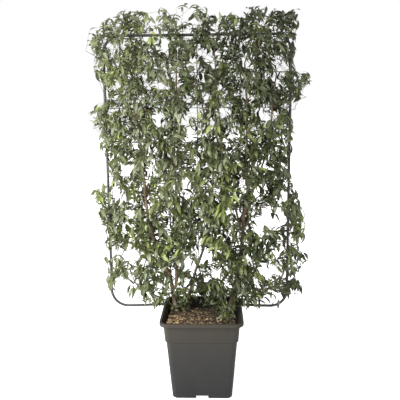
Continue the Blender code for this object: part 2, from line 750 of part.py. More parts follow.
def blade_faces(start):
    """The seven faces of a blade from its ring at index start on to its sides and tip."""
    upper, other, keel, left, right, tip = range(start, start + 6)
    return [(upper, left, right), (upper, right, other), (left, tip, right), (keel, other, right),
            (keel, right, tip), (keel, tip, left), (keel, left, upper)]


def ring_before(ring, point, before, normal, radius, wider):
    """Carry a ring back along a straight stretch, with flat sides, to the plane through its start."""
    run = point - before
    apex = point + run * radius / (wider - radius)
    spokes = [corner - apex for corner in ring]
    return [apex + spoke * ((before - apex).dot(normal) / spoke.dot(normal)) for spoke in spokes]


def twig_solid(path, radii, leaf):
    """A three-sided twig, thickest at its foot, whose end runs on into its leaf."""
    last = len(path) - 1
    directions = [(after - before).normalized() for before, after in zip(path, path[1:])]
    directions.append(leaf["along"])
    normals = [directions[0]] + [(a + b).normalized() for a, b in zip(directions, directions[1:])]
    rings = [root_ring(path[last], normals[last], leaf["across"], radii[last])]
    for index in range(last - 1, -1, -1):
        rings.append(ring_before(rings[-1], path[index + 1], path[index], normals[index],
                                 radii[index + 1], radii[index]))
    rings.reverse()
    points = [point for ring in rings for point in ring]
    faces = [(0, 1, 2)]
    for start in range(0, len(points) - 3, 3):
        for corner in range(3):
            after = (corner + 1) % 3
            faces.append((start + corner, start + after, start + 3 + after, start + 3 + corner))
    faces += blade_faces(len(points) - 3)
    return points + [*leaf["sides"], leaf["tip"]], faces


def leaf_edges(leaf):
    """The blade's four edges and its midrib."""
    left, right = leaf["sides"]
    root, tip = leaf["root"], leaf["tip"]
    return ((root, left), (left, tip), (tip, right), (right, root), (root, tip))


def leaf_triangles(leaf):
    """The blade's two halves."""
    left, right = leaf["sides"]
    return ((leaf["root"], left, leaf["tip"]), (leaf["root"], leaf["tip"], right))


def leaf_clear_of_bars(leaf, bars):
    """Whether a blade keeps clear of limbs, tubes and wires."""
    width = leaf["length"] * LEAF_WIDTH_SHARE
    for a, b, radius in bars:
        if segment_distance(leaf["root"], leaf["tip"], a, b) > width + radius + LEAF_CLEARANCE:
            continue
        if any(crosses(a, b, triangle) for triangle in leaf_triangles(leaf)):
            return False
        if any(segment_distance(c, d, a, b) < radius + LEAF_CLEARANCE for c, d in leaf_edges(leaf)):
            return False
    return True


def leaves_cross(one, other):
    """Whether two blades pass through each other."""
    middles = [leaf["root"].lerp(leaf["tip"], 0.5) for leaf in (one, other)]
    if (middles[0] - middles[1]).length > one["length"] + other["length"]:
        return False
    for first, second in ((one, other), (other, one)):
        for a, b in leaf_edges(first):
            if any(crosses(a, b, triangle) for triangle in leaf_triangles(second)):
                return True
    return False


def twig_clear(a, b, bars, leaves):
    """Whether a straight twig keeps clear of limbs and wires, and of the leaves already set."""
    if any(segment_distance(a, b, c, d) < radius + TWIG_CLEARANCE for c, d, radius in bars):
        return False
    return not any(crosses(a, b, triangle) for leaf in leaves for triangle in leaf_triangles(leaf))


# The growth rule of a foliage mass

def wished_leaf(rng, site, side, space, outward):
    """One try at a leaf whose middle lies at a site, turned out of the hedge."""
    length = rng.uniform(*LEAF_LENGTH)
    at_top = space["top_row"] and site.z > CROWN_HEAD - TOP_BAND
    rise = rng.uniform(*(TOP_RISE if at_top else SHOOT_RISE))
    lean = rng.uniform(-1, 1) + outward * OUTWARD_LEAN
    along = Vector((lean, side * rng.uniform(0, SIDE_LEAN), rise)).normalized()
    facing = Vector((rng.uniform(-0.5, 0.5), side, rng.uniform(*FACING_UP)))
    if abs(facing.normalized().dot(along)) > NEARLY_ALONG:
        facing.z += 1.0
    return leaf_shape(site - along * length / 2, along, facing, length)


def leaf_fits(leaf, space, bars, leaves):
    """Whether a leaf keeps to the mass's space, off the open sky and clear of all the rest."""
    corners = (leaf["root"], *leaf["sides"], leaf["tip"])
    if not all(inside_space(corner, space) for corner in corners):
        return False
    if through_sky(leaf["root"], leaf["tip"]) or any(in_sky(corner) for corner in corners):
        return False
    if not leaf_clear_of_bars(leaf, bars):
        return False
    return not any(leaves_cross(leaf, other) for other in leaves)


def leaf_sites(rng, space):
    """Jittered places over the mass's face, shuffled, each towards the front or the back."""
    sites = []
    columns = max(2, round((space["right"] - space["left"]) / SITE_PITCH))
    rows = max(2, round((space["high"] - space["low"]) / SITE_PITCH))
    for column in range(columns):
        for row in range(rows):
            x = space["left"] + (space["right"] - space["left"]) * (column + 0.5) / columns
            z = space["low"] + (space["high"] - space["low"]) * (row + 0.5) / rows
            side = -1 if (column + row) % 2 else 1
            sites.append((x, z, side))
    rng.shuffle(sites)
    return sites


def tip_leaf(rng, x, z):
    """One try at a leaf that ends at one of the crown's furthest tips."""
    length = rng.uniform(*LEAF_LENGTH)
    tip = Vector((x, FRAME_Y + rng.uniform(-TIP_DEPTH, TIP_DEPTH), z))
    lean, depth, rise = [rng.uniform(-0.5, 0.5) for _ in range(3)]
    at_top = z > CROWN_HEAD - TOP_BAND / 2
    along = Vector((lean, depth, 1.0) if at_top else (math.copysign(1.0, x), depth, rise)).normalized()
    facing = Vector((rng.uniform(-0.5, 0.5), rng.choice((-1, 1)), rng.uniform(0, 0.5)))
    leaf = leaf_shape(tip - along * length, along, facing, length)
    return leaf_shape(leaf["root"] + tip - leaf["tip"], along, facing, length)


def choose_leaves(rng, space, bars):
    """Leaves for every place of the mass where one fits, clear of limbs and of each other."""
    outward = {"far_left": -1, "far_right": 1}.get(space["column"], 0)
    leaves = []
    for x, z in FURTHEST_TIPS:
        for _ in range(TIP_TRIES):
            leaf = tip_leaf(rng, x, z)
            if leaf_fits(leaf, space, bars, leaves):
                leaves.append(leaf)
                break
    for x, z, side in leaf_sites(rng, space):
        for attempt in range(TRIES):
            deep = side * rng.uniform(*(DEEP_SITES if attempt < TRIES / 2 else SHALLOW_SITES))
            shift = -SEAM_SLANT * deep
            jitter = [rng.uniform(-SITE_JITTER, SITE_JITTER) * SITE_PITCH for _ in range(2)]
            site = Vector((x + shift + jitter[0], CROWN_MIDDLE + deep, z + shift + jitter[1]))
            leaf = wished_leaf(rng, site, side, space, outward)
            if leaf_fits(leaf, space, bars, leaves):
                leaves.append(leaf)
                break
    return leaves


def main_stem(foot, out, leaves, space, bars):
    """The mass's stem: square off its limb, then bent towards the furthest leaf it can reach."""
    knee = foot + out * SOCKET
    if not inside_space(knee, space):
        return None
    for leaf in sorted(leaves, key=lambda leaf: -(leaf["root"] - knee).length):
        others = [other for other in leaves if other is not leaf]
        for bulge in (-STEM_BULGE, STEM_BULGE, -2 * STEM_BULGE, 0.0):
            path = [foot, knee, knee.lerp(leaf["root"], 0.5) + Vector((0, bulge, 0)), leaf["root"]]
            if (path[3] - path[2]).normalized().dot(leaf["along"]) < SHARPEST_TURN:
                continue
            if (path[2] - knee).normalized().dot(out) < SHARPEST_TURN / 2:
                continue
            if through_sky(path[2], path[3]):
                continue
            if all(twig_clear(a, b, bars, others) and inside_space(b, space)
                   for a, b in zip(path[1:], path[2:])):
                return {"path": path, "radii": list(STEM_RADII), "leaf": leaf, "level": 0}
    return None


def grow_mass(foot, out, leaves, space, bars):
    """Grow one mass from its foot: a stem to its furthest leaf, then a twig to every other leaf."""
    stem = main_stem(foot, out, leaves, space, bars)
    if stem is None:
        return []
    twigs = [stem]
    waiting = [leaf for leaf in leaves if leaf is not stem["leaf"]]
    waiting.sort(key=lambda leaf: (leaf["root"] - foot).length)
    for leaf in waiting:
        twig = side_twig(leaf, twigs, space, bars, waiting)
        if twig:
            twigs.append(twig)
    return twigs


def twig_sockets(twigs):
    """Places on the twigs where a side twig can start: the point, its radius and its level."""
    sockets = []
    for twig in twigs:
        path, radii = twig["path"], twig["radii"]
        for index in range(len(path) - 1):
            if twig["level"] == 0 and index == 0:
                continue
            if (path[index + 1] - path[index]).length < SHORTEST_TWIG:
                continue
            for share in SOCKET_SHARES:
                radius = radii[index] + (radii[index + 1] - radii[index]) * share
                sockets.append((path[index].lerp(path[index + 1], share), radius, twig["level"]))
    return sockets


def side_twig(leaf, twigs, space, bars, leaves):
    """A straight twig to a leaf's root from the nearest socket that reaches it clear."""
    root = leaf["root"]
    others = [other for other in leaves if other is not leaf]
    others += [twig["leaf"] for twig in twigs]
    sockets = sorted(twig_sockets(twigs), key=lambda socket: (socket[0] - root).length)
    for start, radius, level in sockets[:SOCKETS_TRIED]:
        run = root - start
        if not TWIG_REACH[0] < run.length < TWIG_REACH[1]:
            continue
        if run.normalized().dot(leaf["along"]) < SHARPEST_TURN or through_sky(start, root):
            continue
        if inside_space(start.lerp(root, 0.5), space) and twig_clear(start, root, bars, others):
            radii = [TWIG_RADIUS, LEAF_ROOT]
            return {"path": [start, root], "radii": radii, "leaf": leaf, "level": level + 1}
    return None


def join_mass(name, pieces, solver):
    """Join loose twigs and leaves into one body by a Boolean union on their collection."""
    group = bpy.data.collections.new(name + "_pieces")
    bpy.context.scene.collection.children.link(group)
    parts = []
    for index, (points, faces) in enumerate(pieces):
        part = mesh_object("%s_piece_%d" % (name, index), points, faces, LEAF, smooth=False)
        if index:
            bpy.context.scene.collection.objects.unlink(part)
            group.objects.link(part)
        parts.append(part)
    union = parts[0].modifiers.new("join", "BOOLEAN")
    union.operation = "UNION"
    union.solver = solver
    union.operand_type = "COLLECTION"
    union.collection = group
    graph = bpy.context.evaluated_depsgraph_get()
    joined = bpy.data.meshes.new_from_object(parts[0].evaluated_get(graph))
    for part in parts:
        bpy.data.objects.remove(part, do_unlink=True)
    bpy.data.collections.remove(group)
    return joined


def tidy_mass(mesh):
    """Merge flat faces, drop loose scraps and sealed hollows, and say whether the mass is closed."""
    shell = bmesh.new()
    shell.from_mesh(mesh)
    bmesh.ops.dissolve_limit(shell, angle_limit=FLAT_ANGLE, verts=shell.verts, edges=shell.edges)
    bmesh.ops.triangulate(shell, faces=shell.faces)
    unseen = set(shell.faces)
    largest = []
    while unseen:
        island = [unseen.pop()]
        for face in island:
            neighbours = {other for edge in face.edges for other in edge.link_faces if other in unseen}
            unseen -= neighbours
            island += neighbours
        if len(island) > len(largest):
            largest = island
    kept = set(largest)
    bmesh.ops.delete(shell, geom=[face for face in shell.faces if face not in kept], context="FACES")
    closed = all(edge.is_manifold for edge in shell.edges)
    shell.to_mesh(mesh)
    shell.free()
    return closed


def mass_seats(space, limbs):
    """Where a mass's stem can meet a limb, best first: a bough's tip, or a place on a limb's side."""
    middle = Vector(((space["left"] + space["right"]) / 2, LIMB_Y, (space["low"] + space["high"]) / 2))
    wished = middle.copy()
    wished.z = space["low"] + SEAT_HEIGHT * (space["high"] - space["low"])
    tips, sides = [], []
    for limb in limbs.values():
        path = limb["path"]
        tip, along = path[-1], limb["frames"][-1][0]
        if inside_space(tip, space):
            tips.append((tip + along * GAP, along))
        for start, end in zip(path[1:], path[2:]):
            point = start.lerp(end, 0.5)
            if inside_space(point, space):
                sides.append(((point - wished).length, limb, point))
    seats = tips if space["top_row"] else []
    for distance, limb, point in sorted(sides, key=lambda entry: entry[0]):
        inward = (middle - point).normalized()
        for wish in (Vector((inward.x, -0.6, 0)), inward, Vector((0, -1, 0)), Vector((0, 1, 0)),
                     Vector((1, 0, 0)), Vector((-1, 0, 0))):
            seats.append(seat(limb, point, wish))
    return seats


def make_mass(space, limbs, bars):
    """Grow a mass from the seat that carries most of its leaves and join it into one solid."""
    rng = random.Random("%s %d" % (space["name"], SEED))
    near = bars_near(bars, space)
    leaves = choose_leaves(rng, space, near)
    twigs = []
    for foot, out in mass_seats(space, limbs)[:SEATS_TRIED]:
        grown = grow_mass(foot, out, leaves, space, near)
        if len(grown) > len(twigs):
            twigs = grown
        if len(twigs) >= GOOD_SHARE * len(leaves):
            break
    pieces = [twig_solid(twig["path"], twig["radii"], twig["leaf"]) for twig in twigs]
    for solver in ("EXACT", "MANIFOLD"):
        mesh = join_mass(space["name"], pieces, solver)
        if tidy_mass(mesh):
            break
    item = bpy.data.objects.new(space["name"], mesh)
    mesh.name = space["name"]
    bpy.context.scene.collection.objects.link(item)
    finish(item, LEAF)
    return solver, len(twigs), len(mesh.polygons)


def main():
    make_pot()
    make_soil(list(STEM_FEET.values()))
    bars = make_frame()
    make_rim_hook("left_rim_hook", FRAME_X - HOOK_REACH)
    make_rim_hook("right_rim_hook", FRAME_X + HOOK_REACH)
    limbs = make_limbs()
    bars += limb_bars(limbs)
    for space in crown_spaces():
        solver, leaf_count, face_count = make_mass(space, limbs, bars)
        print(space["name"], solver, leaf_count, "leaves", face_count, "faces")


main()
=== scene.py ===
"""Looks of the potted Portugal laurel: leaves in sprays on fine twigs, bark, steel frame, pot and mulch.

Units are metres, but lists given to metres() and the limbs' stops are in whole millimetres. The crown is
grown by the same seeded rule and named values as the solids, and carried on to finer twigs and leaves of
real size: each large blade of the solids stands for one spray.
"""
import math
import random

import bmesh
import bpy
import numpy as np
from mathutils import Matrix, Vector, noise
from mathutils.geometry import intersect_ray_tri


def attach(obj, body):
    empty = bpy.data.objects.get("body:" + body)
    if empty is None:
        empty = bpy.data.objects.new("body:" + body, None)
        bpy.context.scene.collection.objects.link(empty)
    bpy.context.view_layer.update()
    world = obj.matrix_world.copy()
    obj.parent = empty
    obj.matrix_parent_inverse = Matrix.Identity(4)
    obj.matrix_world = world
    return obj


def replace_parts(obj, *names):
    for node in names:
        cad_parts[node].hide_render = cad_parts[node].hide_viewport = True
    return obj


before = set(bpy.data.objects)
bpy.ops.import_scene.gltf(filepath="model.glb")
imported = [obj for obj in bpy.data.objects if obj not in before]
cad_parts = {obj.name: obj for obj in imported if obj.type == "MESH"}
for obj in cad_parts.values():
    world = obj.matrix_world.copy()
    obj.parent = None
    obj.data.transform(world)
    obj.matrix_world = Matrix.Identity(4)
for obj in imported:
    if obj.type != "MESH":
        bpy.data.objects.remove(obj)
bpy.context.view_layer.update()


def metres(*places):
    """Places given in whole millimetres, in metres."""
    return tuple(tuple(value / 1000 for value in place) for place in places)


def clamped(value, low=0.0, high=1.0):
    """A value held between two limits."""
    return min(high, max(low, value))


def between(start, end, share):
    """The value a share of the way from one to another."""
    return start + (end - start) * share


GAP = 0.0003
SHARP_ANGLE = math.radians(40)

# Camera, as fitted to the pot's rim and foot and to the frame's posts and wires
CAMERA_PLACE = Vector((0.0868, -3.0, 1.6079))
CAMERA_TILT = 0.1663
CAMERA_PAN = -0.0316
CAMERA_ROLL = -0.0088
CAMERA_LENS = 48.96

# Pot
POT_HEIGHT = 0.462
RIM_HALF = 0.231
RIM_INNER_HALF = 0.217
RIM_DROP = 0.019
RIM_BEVEL = 0.0025
FOOT_HALF = 0.1685
FOOT_BEVEL = 0.004
WALL_SLOPE = 0.081
WALL = 0.004
LIP_WALL = 0.003
LEDGE_HEIGHT = 0.346
LEDGE_STEP = 0.006
SHOULDER_DROP = 0.013
POT_CORNER = 0.032
CORNER_STEPS = 12
FLOOR_HEIGHT = 0.02
FLOOR_RECESS = 0.016
FOOT_WALL = 0.01
BOSS_HALF = 0.045
BOSS_CORNER = 0.01
NOTCH_WIDTH = 0.078
NOTCH_HEIGHT = 0.018
NOTCH_TAPER = 0.006
POT_EDGE = 0.0009
POT_EASED_FROM = math.radians(30)
POT_SHARP = math.radians(60)

# Mulch
SOIL_TOP = 0.395
SOIL_DIP = 0.011
MOUND_RADIUS = 0.06
MOUND_EDGE = 0.05
RIPPLE_X = (31.0, 1.0)
RIPPLE_Y = (27.0, 0.5)
CHIP_PITCH = 0.008
CHIP_LENGTH = (0.01, 0.034)
CHIP_THICKNESS = (0.0022, 0.006)
CHIP_LAYER = 0.007
CHIP_WALL_GAP = 0.006
CHIP_INSET = 0.001
CHIP_WIDTH_SHARE = (0.2, 0.5)
CHIP_TILT = 0.22
CHIP_CORNERS = ((0.55, 1.0), (0.5, 1.0), (0.6, 1.0))
CHIP_SHARP = math.radians(30)
CHIP_COLOURS = (("cream", (0.46, 0.325, 0.18)), ("tan", (0.22, 0.142, 0.072)),
                ("brown", (0.105, 0.07, 0.042)), ("umber", (0.056, 0.036, 0.021)),
                ("black", (0.028, 0.019, 0.012)))
# Chip colours are dealt round a middle, with painted light and shade across and towards the back, and a
# random spread
SHADE_MIDDLE = 0.56
PAINTED_SHADE_ACROSS = 0.72
PAINTED_SHADE_DEEP = 0.25
SHADE_SPREAD = 0.35
STEM_ROOM = 0.022
HEAP_HEIGHT = 0.048
HEAP_FROM = -0.1
HEAP_SHARE = 0.6
HEAP_FALL = 4.0
STEM_FEET = {"left": (-0.164, 0.125), "middle": (-0.09, 0.165), "right": (0.165, 0.13)}

# Training frame
HOOK_THICKNESS = 0.0025
HOOK_WIDTH = 0.02
HOOK_REACH = 0.13
HOOK_DROP = 0.032
TUBE_RADIUS = 0.008
FRAME_X = -0.027
FRAME_Y = RIM_HALF + GAP + HOOK_THICKNESS + GAP + TUBE_RADIUS
FRAME_WIDTH = 1.103
FRAME_FOOT = 0.3875
FRAME_HEIGHT = 1.648
FRAME_CORNER = 0.1
BAR_BOW = 0.015
WIRE_RADIUS = 0.002
LOW_WIRE = 0.503
FIRST_WIRE = 0.803
WIRE_PITCH = 0.2025
WIRE_COUNT = 6
ROD_RADIUS = 0.0025
BEND_STEPS = 5
BOW_STEPS = 6
FRAME_HALF = FRAME_WIDTH / 2 - TUBE_RADIUS
FRAME_LOW = FRAME_FOOT + TUBE_RADIUS
FRAME_HIGH = FRAME_FOOT + FRAME_HEIGHT - TUBE_RADIUS
FRAME_RUN = FRAME_HALF - FRAME_CORNER
TUBE_SIDES = 24
WIRE_SIDES = 12
ROUND_STEPS = 15
BOW_POINTS = 24
# Distance from a wire's end and how much wider the weld makes it there
WELD_FILLET = ((0.0, 2.1), (0.0012, 1.5), (0.003, 1.15), (0.006, 1.0))
WIRE_WELD = 0.0006
ROD_WELD = 0.001
HOOK_EDGE = 0.0006

# Stems and boughs
STEM_SIDES = 10
BOUGH_SIDES = 8
LIMB_STEP = 0.1
FLARE = 0.75
FLARE_HEIGHT = 0.035
FLARE_KNEE = 0.45
FLARE_LEFT = 0.3
LIMB_Y = FRAME_Y - 0.022
BEHIND_POST = 0.018
BEHIND_FRAME = 0.01
SOCKET = 0.014
SEAT_SHARES = (0.15, 0.85)
BARK_STEP = 0.006
BARK_SIDES = 18
TIP_BURIED = 0.004
COLLAR = 0.55
COLLAR_REACH = 0.01
WANDER = 0.1
WANDER_RUN = 0.05
WANDER_PITCH = 24
KNOT_PITCH = 0.07
KNOT_PLACES = (0.02, 0.98)
KNOT_SIZE = (0.1, 0.26)
KNOT_REACH = 1.4
KNOT_FADE = 2.5
GRAIN_PITCH = (300, 300, 55)
GRAIN_RELIEF = 0.07
ROUGH_PITCH = 90
ROUGH_RELIEF = 0.05

# The growth rule, as in the solids
CROWN_FRONT = FRAME_Y - 0.185
CROWN_BACK = FRAME_Y + 0.155
CROWN_MIDDLE = FRAME_Y - 0.015
SEAM_WAVE = 0.022
SEAM_PITCH = 0.47
SEAM_SHIFT = 1.0
SEAM_SLANT = 0.45
SPACE_MARGIN = 0.005
LEAF_LENGTH = (0.128, 0.172)
LEAF_WIDTH_SHARE = 0.47
LEAF_ROOT = 0.0019
LEAF_WIDEST = 0.42
LEAF_LIFT = 0.012
LEAF_DROOP = 0.05
LEAF_CLEARANCE = 0.0025
TWIG_CLEARANCE = 0.007
SITE_PITCH = 0.062
SITE_JITTER = 0.45
TRIES = 60
TIP_TRIES = 60
TIP_DEPTH = 0.06
TIP_LEAN = 0.5
SHOOT_RISE = (-1.0, 0.9)
TOP_RISE = (-0.2, 1.4)
TOP_BAND = 0.22
OUTWARD_LEAN = 0.5
SIDE_LEAN = 0.7
FACING_ACROSS = 0.5
FACING_UP = (0.1, 0.9)
NEARLY_ALONG = 0.9
DEEP_SITES = (0.03, 0.15)
SHALLOW_SITES = (0.0, 0.1)
SKY_SHARES = (0.25, 0.5, 0.75)
SKY_REACH = 0.75
SKY_CORE = 0.45
RAGGED_PITCH = 25.0
RAGGED_DEPTH = 0.015
SPECKLE_PITCH = 17.0
SPECKLE_SLICE = 9.83
SPECKLE_THIN = ((-0.6, 0.1), (-0.4, 0.06), (-0.3, 0.0), (0.4, 0.0), (0.5, 0.04))
SPECKLE_LIMITS = ((0.45, 0.3), (0.62, 0.32), (0.8, 0.41), (1.35, 0.41), (1.6, 0.36), (1.9, 0.33),
                  (2.05, 0.29), (2.2, 0.24))
STEM_RADII = (0.005, 0.0048, 0.004, 0.0024)
STEM_BULGE = 0.012
TWIG_RADIUS = 0.0021
TWIG_REACH = (0.012, 0.26)
SHORTEST_TWIG = 0.035
SOCKET_SHARES = (0.3, 0.55, 0.8)
SOCKETS_TRIED = 14
SHARPEST_TURN = -0.5
SEAT_HEIGHT = 0.35
SEAT_FORWARD = -0.6
SEATS_TRIED = 40
GOOD_SHARE = 0.92
SEED = 2024

# Finer growth: short sprays between the large ones, and the real leaves on every spray
FINE_PITCH = 0.036
FINE_LENGTH = (0.075, 0.12)
FINE_TRIES = 10
LIMB_PITCH = 0.045
LIMB_TWIG = (0.02, 0.06)
LIMB_TWIG_BEND = 0.3
LIMB_TWIG_RISE = (0.1, 1.2)
LIMB_TWIG_FACING = 0.3
LIMB_NEAR = 0.2
TWIG_SPREAD = 0.7
SHOOT_SHARE = 0.8
SHOOT_LIFT = 0.05
SHOOT_STRAY = 0.06
FEWEST_LEAVES = 4
SPREAD_FALL = 0.55
NODE_PITCH = 0.01
LEAF_TURN = math.radians(137)
LEAF_SPREAD = (0.75, 1.25)
LEAF_BEND = (0.45, 1.5)
LEAF_TURN_STRAY = 0.3
LEAF_SAG = (-0.15, 0.4)
LEAF_FACING = 0.35
LEAF_STRAY = 0.28
LEAF_FOLD = (0.2, 0.55)
LEAF_WAVE = 0.05
LEAF_RIPPLE = 5.0
REAL_LEAF = (0.048, 0.074)
REAL_WIDTH = (0.28, 0.39)
END_LEAF = 0.8
SPRAY_SIZE = (0.8, 1.2)
# Low leaves are longer and slimmer: shares at the crown's foot and head
SIZE_BY_HEIGHT = (1.16, 0.9)
WIDTH_BY_HEIGHT = (0.84, 1.02)
LEAF_HANG = 0.035
LEAF_THICKNESS = 0.0006
LEAF_SHARP = math.radians(60)
WOOD_SHARP = math.radians(75)
UNDER_ROUGHNESS = 0.6
PETIOLE = 0.008
STALK_RADII = (0.0007, 0.0006)
SHOOT_RADIUS = 0.00105
SHOOT_THINNING = 0.00055
LOW_TWIG_RADII = (0.0013, 0.0011)
TWIG_SOCKET = 0.002
TWIG_SIDES = 6
SHOOT_SIDES = 4
STALK_SIDES = 3
STEM_SLIMMING = 0.72
TWIG_SLIMMING = 0.55
UP = Vector((0, 0, 1))
# Share of a leaf's length, and of its full width there
LEAF_STATIONS = ((0.1, 0.46), (0.28, 0.88), (0.47, 1.0), (0.67, 0.8), (0.86, 0.38))

# Places of reddish brown young shoots: x and height
BRONZE_PLACES = metres(
    (-440, 1840), (-360, 1470), (-370, 1600), (260, 1650), (420, 2040), (-170, 1930), (470, 1900),
    (-20, 1720))
BRONZE_REACH = 0.05
BRONZE_SHARE = 0.22
BRONZE_LEAVES = 0.4

# Wood and tube that show bare: x, height, half width and half height, and where along a leaf it is looked at
BARE_SHARES = (0.25, 0.6, 1.0)
BARE_WOOD = metres(
    (243, 940, 32, 85), (-338, 1090, 26, 75), (-305, 855, 24, 50), (-185, 590, 26, 55),
    (-15, 715, 26, 65), (-182, 435, 18, 45), (170, 430, 18, 35), (518, 860, 14, 120),
    (518, 600, 14, 60), (518, 1120, 14, 50))

# Places of yellow-green young growth: x, height and reach
YOUNG_PLACES = metres(
    (-620, 1100, 70), (-300, 1100, 70), (20, 1210, 60), (150, 1050, 70), (90, 830, 60), (300, 670, 70),
    (-410, 850, 70), (420, 770, 60), (-470, 1800, 80), (-210, 1720, 60), (-330, 2050, 70),
    (330, 2030, 40))


# Meshes

def placed(name, data):
    """A new object in the scene."""
    item = bpy.data.objects.new(name, data)
    bpy.context.scene.collection.objects.link(item)
    return item


def piece_from_mesh(name, mesh, slot_name, sharp=SHARP_ANGLE):
    """Put a mesh in the scene, shaded smooth up to an angle, as a piece that rides on the plant."""
    mesh.shade_smooth()
    mesh.set_sharp_from_angle(angle=sharp)
    item = placed(name, mesh)
    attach(item, "root")
    return item


def reshape(mesh, edit):
    """Change a mesh by an edit of its shell."""
    shell = bmesh.new()
    shell.from_mesh(mesh)
    edit(shell)
    shell.to_mesh(mesh)
    shell.free()


def mesh_from_faces(name, points, faces):
    """A mesh of any faces, with its faces turned outwards."""
    mesh = bpy.data.meshes.new(name)
    mesh.from_pydata([tuple(point) for point in points], [], faces)
    reshape(mesh, lambda shell: bmesh.ops.recalc_face_normals(shell, faces=shell.faces))
    return mesh


def piece_from_faces(name, points, faces, look, slot_name, sharp=SHARP_ANGLE):
    """A piece in one look from points and faces."""
    mesh = mesh_from_faces(name, points, faces)
    mesh.materials.append(look)
    return piece_from_mesh(name, mesh, slot_name, sharp)


def mesh_from_triangles(name, points, triangles, slots):
    """A mesh from arrays of points, triangles and each triangle's material slot."""
    mesh = bpy.data.meshes.new(name)
    mesh.vertices.add(len(points))
    mesh.vertices.foreach_set("co", points.astype(np.float32).ravel())
    mesh.loops.add(3 * len(triangles))
    mesh.loops.foreach_set("vertex_index", triangles.astype(np.int32).ravel())
    mesh.polygons.add(len(triangles))
    mesh.polygons.foreach_set("loop_start", np.arange(0, 3 * len(triangles), 3, dtype=np.int32))
    mesh.polygons.foreach_set("material_index", slots.astype(np.int32))
    mesh.update(calc_edges=True)
    mesh.validate()
    return mesh


def copied_faces(faces, count, corners):
    """The faces of many copies of a shape that follow each other in one list of points."""
    return ((np.arange(count) * corners)[:, None, None] + faces[None]).reshape(-1, faces.shape[1])


def loft(rings, closed=False):
    """Join rings of equal length, first to last, and close both ends, or join the last to the first."""
    count = len(rings[0])
    points = [point for ring in rings for point in ring]
    faces = []
    for level in range(len(rings) if closed else len(rings) - 1):
        start = level * count
        next_start = (level + 1) % len(rings) * count
        for index in range(count):
            after = (index + 1) % count
            faces.append((start + index, start + after, next_start + after, next_start + index))
    if not closed:
        faces.append(tuple(range(count))[::-1])
        faces.append(tuple(range((len(rings) - 1) * count, len(rings) * count)))
    return points, faces


def joined(parts):
    """Put several lists of points and faces into one."""
    points, faces = [], []
    for part_points, part_faces in parts:
        start = len(points)
        points += part_points
        faces += [tuple(start + corner for corner in face) for face in part_faces]
    return points, faces


# Materials

MIDDLE_RANGE = (0.3, 0.7)
WHITE = (1.0, 1.0, 1.0, 1.0)


def new_node(tree, kind, **inputs):
    """A new shader node whose inputs, named with underscores for spaces, take values or links."""
    node = tree.nodes.new("ShaderNode" + kind)
    for name, value in inputs.items():
        socket = node.inputs[name.replace("_", " ")]
        if isinstance(value, bpy.types.NodeSocket):
            tree.links.new(value, socket)
        else:
            socket.default_value = value
    return node


class Look:
    """A Principled material with procedural detail, read in the object's own coordinates."""

    def __init__(self, name, colour, roughness, metallic=0.0):
        self.material = bpy.data.materials.new(name)
        self.material.use_nodes = True
        self.tree = self.material.node_tree
        self.inputs = self.tree.nodes["Principled BSDF"].inputs
        self.inputs["Base Color"].default_value = (*colour, 1.0)
        self.inputs["Roughness"].default_value = roughness
        self.inputs["Metallic"].default_value = metallic
        self.place = self.node("TexCoord").outputs["Object"]

    def node(self, kind, **inputs):
        """A new node of this look."""
        return new_node(self.tree, kind, **inputs)

    def noise(self, scale, detail=4.0, roughness=0.55, stretch=(1, 1, 1)):
        """A noise value over the surface, stretched unevenly."""
        place = self.node("Mapping", Scale=stretch, Vector=self.place).outputs["Vector"]
        texture = self.node("TexNoise", Scale=scale, Detail=detail, Roughness=roughness, Vector=place)
        return texture.outputs["Fac"]

    def height(self, low, high):
        """The place's height, as a share of the way from low to high."""
        height = self.node("SeparateXYZ", Vector=self.place).outputs["Z"]
        return self.node("MapRange", From_Min=low, From_Max=high, Value=height).outputs["Result"]

    def mixed(self, first, second, share):
        """Two values mixed: a share of the second in the first."""
        return self.node("Mix", Factor=share, A=first, B=second).outputs["Result"]

    def colours(self, value, stops):
        """Base colour from a value, through (position, colour) stops."""
        ramp = self.node("ValToRGB", Fac=value)
        elements = ramp.color_ramp.elements
        while len(elements) < len(stops):
            elements.new(0.5)
        for element, (position, colour) in zip(elements, stops):
            element.position = position
            element.color = (*colour, 1.0)
        self.tree.links.new(ramp.outputs["Color"], self.inputs["Base Color"])
        return self

    def rough(self, value, low, high):
        """Roughness between two limits from a value's middle range."""
        middle = {"From_Min": MIDDLE_RANGE[0], "From_Max": MIDDLE_RANGE[1]}
        remap = self.node("MapRange", **middle, To_Min=low, To_Max=high, Value=value)
        self.tree.links.new(remap.outputs["Result"], self.inputs["Roughness"])
        return self

    def bump(self, value, height, strength):
        """Relief from a value, height metres deep, over the relief that is there."""
        relief = self.node("Bump", Strength=strength, Distance=height, Height=value)
        if self.inputs["Normal"].is_linked:
            self.tree.links.new(self.inputs["Normal"].links[0].from_socket, relief.inputs["Normal"])
        self.tree.links.new(relief.outputs["Normal"], self.inputs["Normal"])
        return self


def pot_look():
    """Dark moulded plastic with a random mottle, darker towards the foot as painted shade and paler and
    browner towards the rim as a painted sheen.
    """
    look = Look("pot_plastic", (0.05, 0.048, 0.043), 0.5)
    mottle = look.noise(6.0, 6.0, 0.6, (1, 1, 0.3))
    # painted shade low on the pot and a painted sheen near the rim, mixed with the mottle
    stops = ((0.2, (0.021, 0.021, 0.021)), (0.55, (0.031, 0.03, 0.028)), (0.85, (0.047, 0.041, 0.032)))
    look.colours(look.mixed(look.height(0.0, POT_HEIGHT), mottle, 0.35), stops)
    look.inputs["Specular IOR Level"].default_value = 0.25
    look.rough(look.noise(16.0, 5.0), 0.4, 0.58)
    look.bump(look.noise(520.0, 2.0), 0.0002, 0.3)
    look.bump(look.noise(38.0, 3.0, 0.5, (0.15, 0.15, 1.0)), 0.0003, 0.5)
    return look.bump(look.noise(9.0, 2.0, 0.5, (1, 1, 0.3)), 0.0012, 0.5).material


